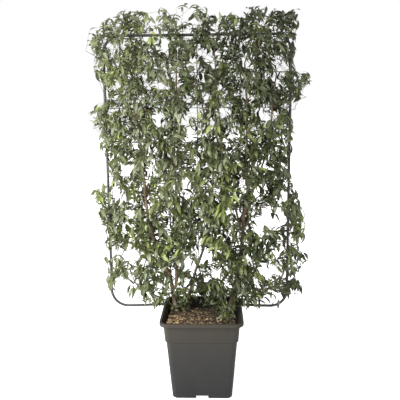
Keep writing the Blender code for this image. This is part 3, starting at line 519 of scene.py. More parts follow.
def painted_shade_inner_look():
    """The pot's inside walls, nearly black: painted shade."""
    look = Look("pot_inside_painted_shade", (0.014, 0.014, 0.013), 0.6)
    look.inputs["Specular IOR Level"].default_value = 0.2
    look.colours(look.noise(24.0, 4.0), ((0.35, (0.01, 0.01, 0.009)), (0.7, (0.02, 0.018, 0.015))))
    return look.bump(look.noise(38.0, 3.0, 0.5, (0.15, 0.15, 1.0)), 0.0003, 0.5).material


def steel_look():
    """Dark painted steel with a faint mottle."""
    look = Look("painted_steel", (0.07, 0.072, 0.075), 0.4, 0.3)
    look.colours(look.noise(60.0, 5.0, 0.6), ((0.35, (0.045, 0.046, 0.048)), (0.7, (0.085, 0.086, 0.088))))
    look.rough(look.noise(120.0, 3.0), 0.32, 0.55)
    return look.bump(look.noise(400.0, 3.0), 0.0002, 0.3).material


def bark_look(name, dark, middle, light):
    """Smooth bark with fine upright cracks and pale breathing marks."""
    look = Look(name, middle, 0.8)
    look.colours(look.noise(55.0, 6.0, 0.65, (1, 1, 0.28)), ((0.3, dark), (0.52, middle), (0.75, light)))
    look.rough(look.noise(90.0), 0.65, 0.9)
    look.bump(look.noise(230.0, 4.0, 0.6, (1, 1, 0.22)), 0.0009, 0.7)
    return look.bump(look.noise(160.0, 2.0, 0.5, (0.35, 0.35, 1.6)), 0.0005, 0.4).material


def chip_look(name, colour):
    """Split bark or wood with its grain."""
    look = Look(name, colour, 0.9)
    dark = tuple(channel * 0.55 for channel in colour)
    pale = tuple(min(1.0, channel * 1.35) for channel in colour)
    look.colours(look.noise(190.0, 5.0, 0.6), ((0.35, dark), (0.52, colour), (0.72, pale)))
    return look.bump(look.noise(420.0, 4.0, 0.6), 0.0007, 0.7).material


def leaf_look(name, colour, roughness):
    """A leaf's plain colour, with the fine unevenness of its blade."""
    look = Look(name, colour, roughness)
    return look.bump(look.noise(260.0, 2.0, 0.5), 0.0005, 0.3).material


# Pot

def wall_half(height):
    """Half the pot's outer width at a height."""
    step = LEDGE_STEP if height >= LEDGE_HEIGHT else 0.0
    return FOOT_HALF + WALL_SLOPE * height + step


def rounded_square(half, corner, height):
    """A level ring: a square with round corners."""
    ring = []
    for quarter in range(4):
        middle = math.pi / 4 + quarter * math.pi / 2
        x = math.copysign(half - corner, math.cos(middle))
        y = math.copysign(half - corner, math.sin(middle))
        for step in range(CORNER_STEPS + 1):
            turn = quarter * math.pi / 2 + step * math.pi / 2 / CORNER_STEPS
            ring.append(Vector((x + corner * math.cos(turn), y + corner * math.sin(turn), height)))
    return ring


def around_shoulder(half):
    """Half width and corner radius of a ring that runs even all round with the pot's shoulder."""
    return half, POT_CORNER + half - wall_half(POT_HEIGHT - SHOULDER_DROP)


def pot_profile():
    """Half width, corner radius and height of each ring, from the underside round to the floor."""
    below_ledge = LEDGE_HEIGHT - LEDGE_STEP / 2
    shoulder = POT_HEIGHT - SHOULDER_DROP
    lip_foot = POT_HEIGHT - RIM_DROP
    flange = POT_HEIGHT - LIP_WALL
    lip = ((RIM_INNER_HALF + WALL, flange), (RIM_HALF - LIP_WALL, flange), (RIM_HALF - LIP_WALL, lip_foot),
           (RIM_HALF, lip_foot), (RIM_HALF, POT_HEIGHT - RIM_BEVEL), (RIM_HALF - RIM_BEVEL, POT_HEIGHT),
           (RIM_INNER_HALF, POT_HEIGHT))
    rings = [(BOSS_HALF, BOSS_CORNER, height) for height in (0.0, FLOOR_RECESS)]
    rings += [(FOOT_HALF - inset, POT_CORNER - inset, height)
              for inset, height in ((FOOT_WALL, FLOOR_RECESS), (FOOT_WALL, 0.0), (FOOT_BEVEL, 0.0))]
    rings += [(wall_half(height), POT_CORNER, height)
              for height in (FOOT_BEVEL, below_ledge, LEDGE_HEIGHT, shoulder)]
    rings += [(*around_shoulder(half), height) for half, height in lip]
    rings += [(wall_half(height) - WALL, POT_CORNER - WALL, height)
              for height in (shoulder, LEDGE_HEIGHT, below_ledge, FLOOR_HEIGHT)]
    return rings


def notch_blocks():
    """Four blocks that open a drain notch in the middle of each side of the foot."""
    parts = []
    near, far = FOOT_HALF - 2 * FOOT_WALL, FOOT_HALF + FOOT_WALL
    levels = ((-NOTCH_HEIGHT, NOTCH_WIDTH / 2), (NOTCH_HEIGHT, NOTCH_WIDTH / 2 - NOTCH_TAPER))
    for turn in range(4):
        cos, sin = round(math.cos(turn * math.pi / 2)), round(math.sin(turn * math.pi / 2))
        rings = []
        for height, half in levels:
            corners = ((near, -half), (far, -half), (far, half), (near, half))
            rings.append([Vector((a * cos - b * sin, a * sin + b * cos, height)) for a, b in corners])
        parts.append(loft(rings))
    return joined(parts)


def make_pot():
    """The pot with its notches cut and every edge eased."""
    rings = [rounded_square(half, corner, height) for half, corner, height in pot_profile()]
    pot = piece_from_faces("pot_shell", *loft(rings), pot_look(), "pot")
    cutter = placed("notch_cutter", mesh_from_faces("notch_cutter", *notch_blocks()))
    cut = pot.modifiers.new("drain_notches", "BOOLEAN")
    cut.operation = "DIFFERENCE"
    cut.object = cutter
    ease = pot.modifiers.new("eased_edges", "BEVEL")
    ease.width = POT_EDGE
    ease.segments = 2
    ease.limit_method = "ANGLE"
    ease.angle_limit = POT_EASED_FROM
    shaped = bpy.data.meshes.new_from_object(pot.evaluated_get(bpy.context.evaluated_depsgraph_get()))
    pot.modifiers.clear()
    pot.data = shaped
    shaped.shade_smooth()
    shaped.set_sharp_from_angle(angle=POT_SHARP)
    bpy.data.objects.remove(cutter, do_unlink=True)
    # the inner walls take the nearly black painted shade look
    shaped.materials.append(painted_shade_inner_look())
    for face in shaped.polygons:
        flat = Vector((face.center.x, face.center.y, 0))
        if face.normal.dot(flat) < 0 and face.center.z > FLOOR_HEIGHT and flat.length > BOSS_HALF:
            face.material_index = 1
    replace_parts(pot, "pot")


# Mulch

def from_stems(x, y):
    """How far a place is from the nearest stem's foot."""
    return min(math.hypot(x - foot[0], y - foot[1]) for foot in STEM_FEET.values())


def soil_height(x, y):
    """The mulch lies level round each stem's foot and dips a little elsewhere."""
    away = clamped((from_stems(x, y) - MOUND_RADIUS) / MOUND_EDGE)
    ripple = abs(math.sin(RIPPLE_X[0] * x + RIPPLE_X[1]) * math.sin(RIPPLE_Y[0] * y + RIPPLE_Y[1]))
    return SOIL_TOP - SOIL_DIP * away * ripple


def heap_height(x, y):
    """How high the chips are heaped against the pot's left wall, most towards the front."""
    share = clamped((HEAP_FROM - x) / (wall_half(SOIL_TOP) + HEAP_FROM))
    return HEAP_HEIGHT * share * clamped(HEAP_SHARE - HEAP_FALL * y)


def chip_cells(half):
    """Column, row and layer of every chip over a square of half a width."""
    count = round(2 * half / CHIP_PITCH)
    for row in range(count):
        for column in range(count):
            heap = heap_height(column * CHIP_PITCH - half, row * CHIP_PITCH - half)
            for layer in range(1 + int(heap / CHIP_LAYER)):
                yield column, row, layer


def chip_corners(rng, x, y, layer, half):
    """The corners of one chip near a place, or none where a stem's foot is in the way."""
    length = rng.uniform(*CHIP_LENGTH)
    width = length * rng.uniform(*CHIP_WIDTH_SHARE)
    half_size = (length / 2, width / 2, rng.uniform(*CHIP_THICKNESS) / 2)
    turn = Matrix.Rotation(rng.uniform(0, 2 * math.pi), 3, "Z")
    for axis in "XY":
        turn = turn @ Matrix.Rotation(rng.gauss(0, CHIP_TILT), 3, axis)
    reach = [half - abs(turn[axis][0]) * half_size[0] - CHIP_INSET for axis in range(2)]
    middle = Vector((clamped(x, -reach[0], reach[0]), clamped(y, -reach[1], reach[1]), 0))
    if from_stems(middle.x, middle.y) < STEM_ROOM:
        return []
    middle.z = soil_height(x, y) + layer * CHIP_LAYER + rng.uniform(0.0, CHIP_LAYER)
    corners = []
    for corner in range(8):
        sign = [1 if corner >> axis & 1 else -1 for axis in range(3)]
        pull = [rng.uniform(*limits) for limits in CHIP_CORNERS]
        corners.append(middle + turn @ Vector([s * p * h for s, p, h in zip(sign, pull, half_size)]))
    return corners


def make_mulch():
    """Bark chips of random colours in layers over the filling, paler at the front left and darker at the back
    right as painted light and shade.
    """
    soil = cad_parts["soil"]
    soil.data.materials.clear()
    soil.data.materials.append(chip_look("soil_dark", (0.052, 0.035, 0.021)))
    rng = random.Random("chips %d" % SEED)
    half = wall_half(SOIL_TOP) - WALL - CHIP_WALL_GAP
    points, slots = [], []
    for column, row, layer in chip_cells(half):
        x = -half + (column + rng.random()) * CHIP_PITCH
        y = -half + (row + rng.random()) * CHIP_PITCH
        corners = chip_corners(rng, x, y, layer, half)
        if not corners:
            continue
        points += corners
        # painted light and shade: paler chips at the front left, darker ones at the back right
        shade = SHADE_MIDDLE + PAINTED_SHADE_ACROSS * x / (2 * half) + PAINTED_SHADE_DEEP * y / (2 * half)
        colour = int(rng.gauss(shade, SHADE_SPREAD) * len(CHIP_COLOURS))
        slots.append(clamped(colour, 0, len(CHIP_COLOURS) - 1))
    box = np.array(((0, 2, 3, 1), (4, 5, 7, 6), (0, 1, 5, 4), (2, 6, 7, 3), (0, 4, 6, 2), (1, 3, 7, 5)))
    sides = np.concatenate((box[:, [0, 1, 2]], box[:, [0, 2, 3]]))
    triangles = copied_faces(sides, len(slots), 8)
    mesh = mesh_from_triangles("mulch_chips", np.array(points), triangles, np.repeat(slots, len(sides)))
    for name, colour in CHIP_COLOURS:
        mesh.materials.append(chip_look("chip_" + name, colour))
    piece_from_mesh("mulch_chips", mesh, "mulch", CHIP_SHARP)


# Training frame

def bar_height(x):
    """Height of the bottom bar's centre line, bowed up over the pot."""
    share = min(1.0, abs(x - FRAME_X) / FRAME_RUN)
    return FRAME_LOW + BAR_BOW * (1 - share ** 2) ** 2


def bow_line(steps):
    """The bottom bar's centre line, with some steps to each side of its middle."""
    places = [FRAME_X + FRAME_RUN * step / steps for step in range(-steps, steps + 1)]
    return [Vector((x, FRAME_Y, bar_height(x))) for x in places]


def level_line(half, height):
    """The two ends of a level bar of the frame."""
    return [Vector((FRAME_X + sign * half, FRAME_Y, height)) for sign in (-1, 1)]


def frame_line():
    """The bent tube's centre line once round: bottom bar, then the other sides and their bends."""
    line = bow_line(BOW_POINTS)
    low, high = FRAME_LOW + FRAME_CORNER, FRAME_HIGH - FRAME_CORNER
    for side, height, start in ((1, low, -90), (1, high, 0), (-1, high, 90), (-1, low, 180)):
        for step in range(ROUND_STEPS + 1):
            turn = math.radians(start) + math.pi / 2 * step / ROUND_STEPS
            out = Vector((math.cos(turn), 0, math.sin(turn)))
            line.append(Vector((FRAME_X + side * FRAME_RUN, FRAME_Y, height)) + out * FRAME_CORNER)
    return [point for point, last in zip(line, line[-1:] + line) if (point - last).length > 1e-5]


def wire_heights():
    """Heights of the wires, lowest first."""
    return [LOW_WIRE] + [FIRST_WIRE + WIRE_PITCH * index for index in range(WIRE_COUNT)]


def ring_round(point, side, up, radius, sides):
    """One ring of points round a point."""
    turns = [2 * math.pi * index / sides for index in range(sides)]
    return [point + (side * math.cos(turn) + up * math.sin(turn)) * radius for turn in turns]


def welded_bar(start, end, radius):
    """A straight rod with a small weld fillet at each end."""
    run = end - start
    along = run.normalized()
    side = along.orthogonal().normalized()
    up = along.cross(side)
    places = [(start + along * away, wide) for away, wide in WELD_FILLET]
    places += [(start + run * share, 1.0) for share in (0.25, 0.5, 0.75)]
    places += [(end - along * away, wide) for away, wide in WELD_FILLET[::-1]]
    return loft([ring_round(place, side, up, radius * wide, WIRE_SIDES) for place, wide in places])


def make_frame(steel):
    """The frame's bent tube, its welded wires and centre rod, and its rim hooks."""
    line = frame_line()
    deep = Vector((0, 1, 0))
    rings = []
    for index, point in enumerate(line):
        along = (line[(index + 1) % len(line)] - line[index - 1]).normalized()
        rings.append(ring_round(point, deep, along.cross(deep), TUBE_RADIUS, TUBE_SIDES))
    whole = piece_from_faces("frame_tube", *loft(rings, closed=True), steel, "steel")
    bends = ["%s_%s_bend" % (level, side) for level in ("bottom", "top") for side in ("left", "right")]
    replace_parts(whole, "bottom_bar", "top_bar", "left_post", "right_post", *bends)
    reach = FRAME_WIDTH / 2 - 2 * TUBE_RADIUS + WIRE_WELD
    parts = [welded_bar(*level_line(reach, height), WIRE_RADIUS) for height in wire_heights()]
    depth = FRAME_Y + WIRE_RADIUS + ROD_RADIUS
    foot = bar_height(FRAME_X) + TUBE_RADIUS - ROD_WELD
    top = FRAME_FOOT + FRAME_HEIGHT - 2 * TUBE_RADIUS + ROD_WELD
    parts.append(welded_bar(Vector((FRAME_X, depth, foot)), Vector((FRAME_X, depth, top)), ROD_RADIUS))
    wires = piece_from_faces("frame_wires", *joined(parts), steel, "steel")
    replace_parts(wires, "centre_rod", *["wire_%d" % (index + 1) for index in range(WIRE_COUNT + 1)])
    hooks = make_rim_hooks(steel)
    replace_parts(hooks, "left_rim_hook", "right_rim_hook")


def make_rim_hooks(steel):
    """Flat strips on the bottom bar that hook over the pot's back rim, their edges eased."""
    thick = HOOK_THICKNESS
    back = RIM_HALF + GAP
    top = POT_HEIGHT + GAP
    front = wall_half(POT_HEIGHT - HOOK_DROP) - WALL - GAP
    low_front = POT_HEIGHT - HOOK_DROP
    parts = []
    for x in (FRAME_X - HOOK_REACH, FRAME_X + HOOK_REACH):
        low_back = bar_height(x) - TUBE_RADIUS
        outline = ((back, low_back), (back + thick, low_back), (back + thick, top + thick),
                   (front - thick, top + thick), (front - thick, low_front), (front, low_front),
                   (front, top), (back, top))
        sides = (-HOOK_WIDTH / 2, HOOK_WIDTH / 2)
        parts.append(loft([[Vector((x + side, y, z)) for y, z in outline] for side in sides]))
    mesh = mesh_from_faces("rim_hooks", *joined(parts))
    ease = {"offset": HOOK_EDGE, "segments": 2, "affect": "EDGES"}
    reshape(mesh, lambda shell: bmesh.ops.bevel(shell, geom=shell.edges, **ease))
    mesh.materials.append(steel)
    return piece_from_mesh("rim_hooks", mesh, "steel")


def frame_bars():
    """The frame's straight stretches, as the solids have them, for twigs to keep clear of."""
    paths = [(bow_line(BOW_STEPS), TUBE_RADIUS), (level_line(FRAME_RUN, FRAME_HIGH), TUBE_RADIUS)]
    inset = GAP / FRAME_CORNER
    for sign in (-1, 1):
        x = FRAME_X + sign * FRAME_HALF
        ends = (FRAME_LOW + FRAME_CORNER, FRAME_HIGH - FRAME_CORNER)
        paths.append(([Vector((x, FRAME_Y, end)) for end in ends], TUBE_RADIUS))
        for height, updown in ((FRAME_LOW, -1), (FRAME_HIGH, 1)):
            centre = Vector((FRAME_X + sign * FRAME_RUN, FRAME_Y, height - updown * FRAME_CORNER))
            bend = []
            for step in range(BEND_STEPS + 1):
                turn = inset + (math.pi / 2 - 2 * inset) * step / BEND_STEPS
                out = Vector((sign * math.sin(turn), 0, updown * math.cos(turn)))
                bend.append(centre + out * FRAME_CORNER)
            paths.append((bend, TUBE_RADIUS))
    reach = FRAME_HALF - TUBE_RADIUS - GAP
    paths += [(level_line(reach, height), WIRE_RADIUS) for height in wire_heights()]
    depth = FRAME_Y + WIRE_RADIUS + GAP + ROD_RADIUS
    ends = (bar_height(FRAME_X) + TUBE_RADIUS + GAP, FRAME_HIGH - TUBE_RADIUS - GAP)
    paths.append(([Vector((FRAME_X, depth, end)) for end in ends], ROD_RADIUS))
    return [(start, end, radius) for path, radius in paths for start, end in zip(path, path[1:])]


# Stems and boughs

def smooth_path(stops, step):
    """A Catmull-Rom curve through the stops, with points about one step apart."""
    stops = [Vector(stop) for stop in stops]
    path = [stops[0]]
    for index in range(len(stops) - 1):
        start, end = stops[index], stops[index + 1]
        before = stops[index - 1] if index else start * 2 - end
        after = stops[index + 2] if index + 2 < len(stops) else end * 2 - start
        count = max(1, round((end - start).length / step))
        for part in range(1, count + 1):
            t = part / count
            path.append(0.5 * (2 * start + (end - before) * t
                               + (2 * before - 5 * start + 4 * end - after) * t ** 2
                               + (3 * start - before - 3 * end + after) * t ** 3))
    return path


def moving_frames(path):
    """The direction and two crosswise axes at each point, turned as little as possible."""
    frames = []
    side = (path[1] - path[0]).orthogonal().normalized()
    for index, point in enumerate(path):
        came = point - path[index - 1] if index else path[1] - point
        goes = path[index + 1] - point if index + 1 < len(path) else came
        along = (came.normalized() + goes.normalized()).normalized()
        side = (side - along * side.dot(along)).normalized()
        frames.append((along, side, along.cross(side)))
    return frames


def tube(path, radii, sides):
    """A closed round bar along a path: points and faces."""
    frames = moving_frames(path)
    rings = [ring_round(point, side, up, radius, sides)
             for point, radius, (along, side, up) in zip(path, radii, frames)]
    return loft(rings)


def make_limb(route, radii_of, sides, buried):
    """A limb as later limbs and twigs are set against it, with its route for the bark."""
    path = route(LIMB_STEP)
    return {"path": path, "radii": radii_of(path), "sides": sides, "frames": moving_frames(path),
            "route": route, "buried": buried}


def path_length(path):
    """The length of a path."""
    return sum((end - start).length for start, end in zip(path, path[1:]))


def taper(path, foot_radius, tip_radius):
    """Radii that fall evenly along the path."""
    lengths = [0.0]
    for before, after in zip(path, path[1:]):
        lengths.append(lengths[-1] + (after - before).length)
    return [foot_radius + (tip_radius - foot_radius) * length / lengths[-1] for length in lengths]


def stem_from_soil(stops, foot_radius, tip_radius):
    """A stem that stands on the mulch with a flared foot and a flat cut."""
    def route(step):
        foot = Vector(stops[0])
        path = [foot + Vector((0, 0, FLARE_HEIGHT * share)) for share in (0.0, FLARE_KNEE, 1.0)]
        return path + smooth_path([path[-1]] + list(stops[1:]), step)[1:]

    def radii_of(path):
        radii = taper(path, foot_radius, tip_radius)
        radii[0] *= 1 + FLARE
        radii[1] *= 1 + FLARE * FLARE_LEFT
        return radii

    return make_limb(route, radii_of, STEM_SIDES, 0.0)


def seat(limb, place, wish):
    """Where a twig or bough stands on a limb's side near a place, and the direction it leaves in.

    It stands just clear of the limb's flat face that looks most to the wish, square to it.
    """
    path, radii = limb["path"], limb["radii"]
    middles = [a.lerp(b, 0.5) for a, b in zip(path, path[1:])]
    index = min(range(len(middles)), key=lambda number: (middles[number] - place).length)
    run = path[index + 1] - path[index]
    share = clamped((place - path[index]).dot(run) / run.length_squared, *SEAT_SHARES)
    radius = between(radii[index], radii[index + 1], share)
    along = run.normalized()
    side = limb["frames"][index][1]
    side = (side - along * side.dot(along)).normalized()
    up = along.cross(side)
    turns = [2 * math.pi * (face + 0.5) / limb["sides"] for face in range(limb["sides"])]
    normals = [side * math.cos(turn) + up * math.sin(turn) for turn in turns]
    out = max(normals, key=lambda normal: normal.dot(wish))
    return path[index] + run * share + out * (radius * math.cos(math.pi / limb["sides"]) + GAP), out


def bough_from(foot, along, stops, foot_radius, tip_radius, buried):
    """A bough that leaves its foot in a direction, then follows its stops."""
    def route(step):
        path = [foot, foot + along * SOCKET]
        return path + smooth_path([path[-1]] + list(stops), step)[1:]

    return make_limb(route, lambda path: taper(path, foot_radius, tip_radius), BOUGH_SIDES, buried)


def bough_on_side(limb, height, stops, foot_radius, tip_radius):
    """A bough that leaves a limb's side square to it."""
    start = point_at(limb, height)
    foot, out = seat(limb, start, Vector(stops[0]) - start)
    return bough_from(foot, out, stops, foot_radius, tip_radius, foot_radius)


def bough_on_tip(limb, stops, tip_radius):
    """A bough that carries on from a limb's tip, as thick as the tip."""
    along = limb["frames"][-1][0]
    foot = limb["path"][-1] + along * GAP
    return bough_from(foot, along, stops, limb["radii"][-1], tip_radius, TIP_BURIED)


def point_at(limb, height):
    """The point of a rising limb's centre line at a height."""
    for start, end in zip(limb["path"], limb["path"][1:]):
        if start.z <= height <= end.z:
            return start.lerp(end, (height - start.z) / (end.z - start.z))
    return limb["path"][-1]


def flat_stops(*places):
    """Stops in the training plane, from pairs of x and height."""
    return [(x, LIMB_Y, height) for x, height in metres(*places)]


def post_stops(sign, bend, *heights):
    """Stops at a bend behind the frame, then straight up behind its left (-1) or right (1) post."""
    (bend_x, bend_height), heights = metres(bend, heights)
    post_x = FRAME_X + sign * FRAME_HALF
    return [(bend_x, FRAME_Y + BEHIND_FRAME, bend_height)] + [
        (post_x, FRAME_Y + BEHIND_POST, height) for height in heights]


def soil_stops(foot, *places):
    """Stops of a stem: its foot on the mulch, then places in space."""
    return [(*STEM_FEET[foot], SOIL_TOP + GAP), *metres(*places)]


def make_limbs():
    """All stems and boughs, by name, as the solids have them."""
    limbs = {}
    limbs["left_stem"] = stem_from_soil(
        soil_stops("left", (-178, 156, 480), (-197, 206, 580)), 0.015, 0.011)
    limbs["left_bough"] = bough_on_tip(
        limbs["left_stem"],
        flat_stops((-228, 650), (-275, 757), (-312, 870), (-338, 1030), (-352, 1220),
                   (-367, 1440), (-395, 1640), (-400, 1905)), 0.0042)
    limbs["inner_left_bough"] = bough_on_side(
        limbs["left_stem"], 0.535,
        flat_stops((-163, 655), (-151, 819), (-155, 1006), (-161, 1188), (-164, 1368),
                   (-148, 1590), (-146, 1850)), 0.0085, 0.0042)
    limbs["far_left_bough"] = bough_on_side(
        limbs["left_bough"], 0.765,
        flat_stops((-345, 790), (-420, 796), (-490, 822)), 0.0068, 0.0056)
    limbs["far_left_upright"] = bough_on_tip(
        limbs["far_left_bough"],
        post_stops(-1, (-548, 905), 985, 1200, 1450, 1650, 1860), 0.0038)
    limbs["middle_stem"] = stem_from_soil(
        soil_stops("middle", (-75, 205, 520))
        + flat_stops((-44, 630), (7, 782), (38, 974), (64, 1187), (47, 1425),
                     (0, 1640), (-18, 1780)), 0.0085, 0.0038)
    limbs["right_stem"] = stem_from_soil(
        soil_stops("right", (178, 165, 470), (204, 205, 566))
        + flat_stops((232, 725), (243, 860), (245, 949)), 0.017, 0.0105)
    limbs["right_bough"] = bough_on_tip(
        limbs["right_stem"],
        flat_stops((264, 1035), (276, 1120), (260, 1210), (262, 1365), (264, 1569),
                   (250, 1850)), 0.0045)
    limbs["inner_right_bough"] = bough_on_side(
        limbs["right_stem"], 0.92,
        flat_stops((196, 1017), (150, 1120), (118, 1366), (98, 1599), (75, 1925)),
        0.007, 0.004)
    limbs["outer_right_bough"] = bough_on_side(
        limbs["right_bough"], 1.105,
        flat_stops((325, 1190), (365, 1305), (402, 1481), (412, 1650), (430, 1790)),
        0.0065, 0.004)
    limbs["low_right_bough"] = bough_on_side(
        limbs["right_stem"], 0.5,
        flat_stops((290, 512), (370, 508), (445, 530)), 0.0072, 0.0058)
    limbs["far_right_bough"] = bough_on_tip(
        limbs["low_right_bough"],
        post_stops(1, (496, 610), 690, 850, 1020, 1200), 0.0038)
    return limbs


def radius_along(limb, length, total):
    """The limb's radius at a length from its foot, read from its coarse radii."""
    path, radii = limb["path"], limb["radii"]
    run = 0.0
    wanted = length / total * path_length(path)
    for index in range(len(path) - 1):
        step = (path[index + 1] - path[index]).length
        if wanted <= run + step:
            return radii[index] + (radii[index + 1] - radii[index]) * (wanted - run) / step
        run += step
    return radii[-1]


def make_bark(name, limb, look):
    """A limb with its bark's relief: upright cracks, knots where twigs left, and a collar at its foot."""
    rng = random.Random("bark %s %d" % (name, SEED))
    line = limb["route"](BARK_STEP)
    path = []
    for start, end in zip(line, line[1:]):
        steps = max(1, round((end - start).length / BARK_STEP))
        path += [start.lerp(end, step / steps) for step in range(steps)]
    path.append(line[-1])
    if limb["buried"]:
        along = (path[1] - path[0]).normalized()
        path.insert(0, path[0] - along * limb["buried"])
    total = path_length(path)
    knots = [(rng.uniform(*KNOT_PLACES) * total, rng.uniform(0, 2 * math.pi), rng.uniform(*KNOT_SIZE))
             for _ in range(max(2, round(total / KNOT_PITCH)))]
    rings = []
    run = 0.0
    last = path[0]
    for point, (along, side, up) in zip(path, moving_frames(path)):
        run += (point - last).length
        last = point
        radius = radius_along(limb, run, total)
        collar = COLLAR * math.exp(-run / COLLAR_REACH) if limb["buried"] > TIP_BURIED else 0.0
        wander = min(1.0, run / WANDER_RUN, (total - run) / WANDER_RUN) * WANDER * radius
        shift = noise.noise_vector(point * WANDER_PITCH) * wander
        ring = []
        for index in range(BARK_SIDES):
            turn = 2 * math.pi * index / BARK_SIDES
            out = side * math.cos(turn) + up * math.sin(turn)
            surface = point + out * radius
            grain = Vector([value * pitch for value, pitch in zip(surface, GRAIN_PITCH)])
            relief = GRAIN_RELIEF * noise.noise(grain) + ROUGH_RELIEF * noise.noise(surface * ROUGH_PITCH)
            for place, knot_turn, size in knots:
                near = (run - place) / (KNOT_REACH * radius)
                if abs(near) < KNOT_FADE:
                    facing = math.cos(turn - knot_turn)
                    relief += size * math.exp(-near * near) * max(0.0, facing) ** 2
            ring.append(point + shift + out * radius * (1 + collar + relief))
        rings.append(ring)
    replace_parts(piece_from_faces("bark_" + name, *loft(rings), look, "bark"), name)


# The crown's outline, its seams and the sky that shows through it

CROWN_LEFT = metres(
    (400, -600), (550, -615), (750, -635), (950, -645), (1050, -670), (1140, -685), (1200, -620),
    (1300, -600), (1450, -640), (1550, -680), (1610, -670), (1660, -595), (1740, -600), (1800, -660),
    (1920, -670), (2020, -690), (2080, -620), (2160, -530), (2250, -480))
CROWN_RIGHT = metres(
    (400, 590), (620, 600), (680, 655), (740, 640), (800, 600), (950, 620), (1080, 590), (1180, 550),
    (1400, 540), (1550, 545), (1630, 600), (1720, 660), (1800, 650), (1850, 555), (1950, 565),
    (2050, 575), (2160, 590), (2250, 590))
CROWN_TOP = metres(
    (-680, 2060), (-440, 2185), (-310, 2150), (-200, 2180), (-140, 2150), (-80, 2216), (0, 2150),
    (165, 2160), (320, 2190), (660, 2195))
CROWN_BOTTOM = metres(
    (-680, 490), (-580, 460), (-420, 470), (-250, 430), (240, 420), (300, 430), (660, 460))

# Centre x, centre height and half sizes of each patch of sky
SKY = metres(
    (-475, 535, 55, 45), (-450, 720, 85, 35), (-100, 655, 60, 40), (15, 700, 50, 40),
    (390, 620, 60, 40), (465, 755, 35, 35), (400, 940, 85, 75), (-525, 1100, 40, 50),
    (-95, 1145, 35, 45), (-460, 1250, 60, 30), (355, 1270, 35, 30), (-290, 1310, 25, 50),
    (-60, 1515, 45, 75), (165, 1460, 22, 50), (-255, 1560, 35, 50), (365, 1570, 35, 45),
    (130, 1580, 35, 30), (-250, 1745, 35, 35), (12, 1780, 22, 28), (260, 1870, 45, 30),
    (480, 1840, 22, 30), (-209, 1968, 35, 45))

# Smaller gaps that only the fine growth leaves open
SMALL_SKY = metres(
    (-315, 2080, 18, 30), (-260, 2090, 25, 30), (-125, 2090, 30, 30), (-40, 2090, 30, 30),
    (90, 2070, 30, 40), (60, 2125, 40, 20), (260, 2140, 45, 20), (380, 2150, 20, 40),
    (-275, 1875, 20, 30), (-55, 1870, 30, 30), (15, 1915, 25, 30), (65, 1845, 30, 30),
    (315, 1830, 25, 25), (425, 1775, 20, 40), (100, 1725, 40, 20), (-505, 1735, 25, 30),
    (-85, 1660, 30, 25), (-50, 1590, 40, 30), (-505, 1595, 40, 25), (60, 1515, 20, 40),
    (440, 1570, 20, 40), (-290, 1360, 18, 30), (-35, 1305, 20, 30), (-160, 1175, 25, 25),
    (-470, 1070, 30, 20), (235, 1160, 20, 40), (320, 1100, 25, 40), (380, 1135, 25, 25),
    (490, 1080, 25, 45), (155, 1000, 25, 50), (-435, 975, 30, 25), (-210, 900, 18, 18),
    (-110, 915, 30, 40), (-360, 670, 30, 30), (-190, 625, 20, 35), (-170, 535, 20, 40),
    (-105, 540, 25, 25), (-275, 500, 25, 40), (80, 605, 55, 25), (455, 465, 25, 45),
    (-263, 2137, 30, 20), (470, 1823, 30, 25), (-259, 1504, 35, 20), (-65, 1432, 35, 25),
    (-117, 1543, 15, 40), (399, 1539, 50, 20), (-313, 1249, 30, 20), (-478, 1335, 35, 20),
    (-575, 1160, 30, 25), (-490, 1065, 20, 30), (-474, 895, 20, 35), (-592, 851, 15, 80),
    (-596, 757, 20, 30), (476, 1064, 25, 40), (322, 881, 35, 30), (580, 668, 20, 30),
    (551, 579, 20, 20), (-174, 597, 30, 25), (472, 598, 50, 20), (-63, 501, 35, 15), (395, 580, 40, 20),
    (20, 560, 30, 20), (-530, 530, 25, 60), (445, 625, 35, 35), (465, 960, 25, 60),
    (-510, 1935, 30, 25), (-330, 560, 20, 25), (-290, 595, 18, 22), (-345, 475, 12, 35),
    (-290, 455, 14, 30), (-335, 2115, 22, 18), (-80, 2100, 25, 20), (540, 806, 20, 25),
    (-513, 461, 35, 35), (153, 585, 25, 20), (-610, 1629, 20, 20), (470, 1045, 25, 20),
    (-420, 1055, 25, 15))

OPEN_SKY = SKY + SMALL_SKY

# Places where growth closes over: as the patches of sky
FULL_PLACES = metres(
    (-397, 2068, 40, 50), (-444, 1833, 30, 60), (-256, 1944, 25, 60), (-58, 1520, 22, 45),
    (-560, 1865, 50, 15), (153, 1495, 40, 30), (-90, 1337, 30, 40), (-299, 1321, 30, 30),
    (-75, 1139, 25, 20), (-126, 913, 25, 40), (165, 1035, 30, 30), (380, 1030, 40, 20),
    (350, 991, 25, 40), (430, 967, 25, 25), (275, 756, 30, 60), (439, 775, 30, 30), (415, 687, 40, 30),
    (92, 869, 30, 30), (490, 1274, 40, 60), (373, 1173, 20, 20), (436, 1393, 30, 30),
    (331, 1287, 30, 20), (268, 1893, 25, 30), (320, 1842, 30, 20), (440, 2125, 30, 30),
    (510, 2085, 35, 40), (-471, 591, 30, 40), (-600, 1395, 30, 30), (-400, 470, 35, 30),
    (-285, 1010, 20, 30), (-390, 765, 35, 20), (390, 1605, 20, 35), (-585, 495, 30, 30),
    (560, 480, 40, 30), (-195, 1912, 45, 20), (-255, 2010, 20, 30), (-224, 1774, 30, 35),
    (-257, 1602, 20, 35), (489, 2012, 30, 30), (588, 870, 20, 40), (-135, 680, 30, 30),
    (-262, 1118, 20, 25), (-235, 642, 20, 30), (520, 465, 35, 25), (318, 693, 25, 35),
    (385, 835, 30, 20))

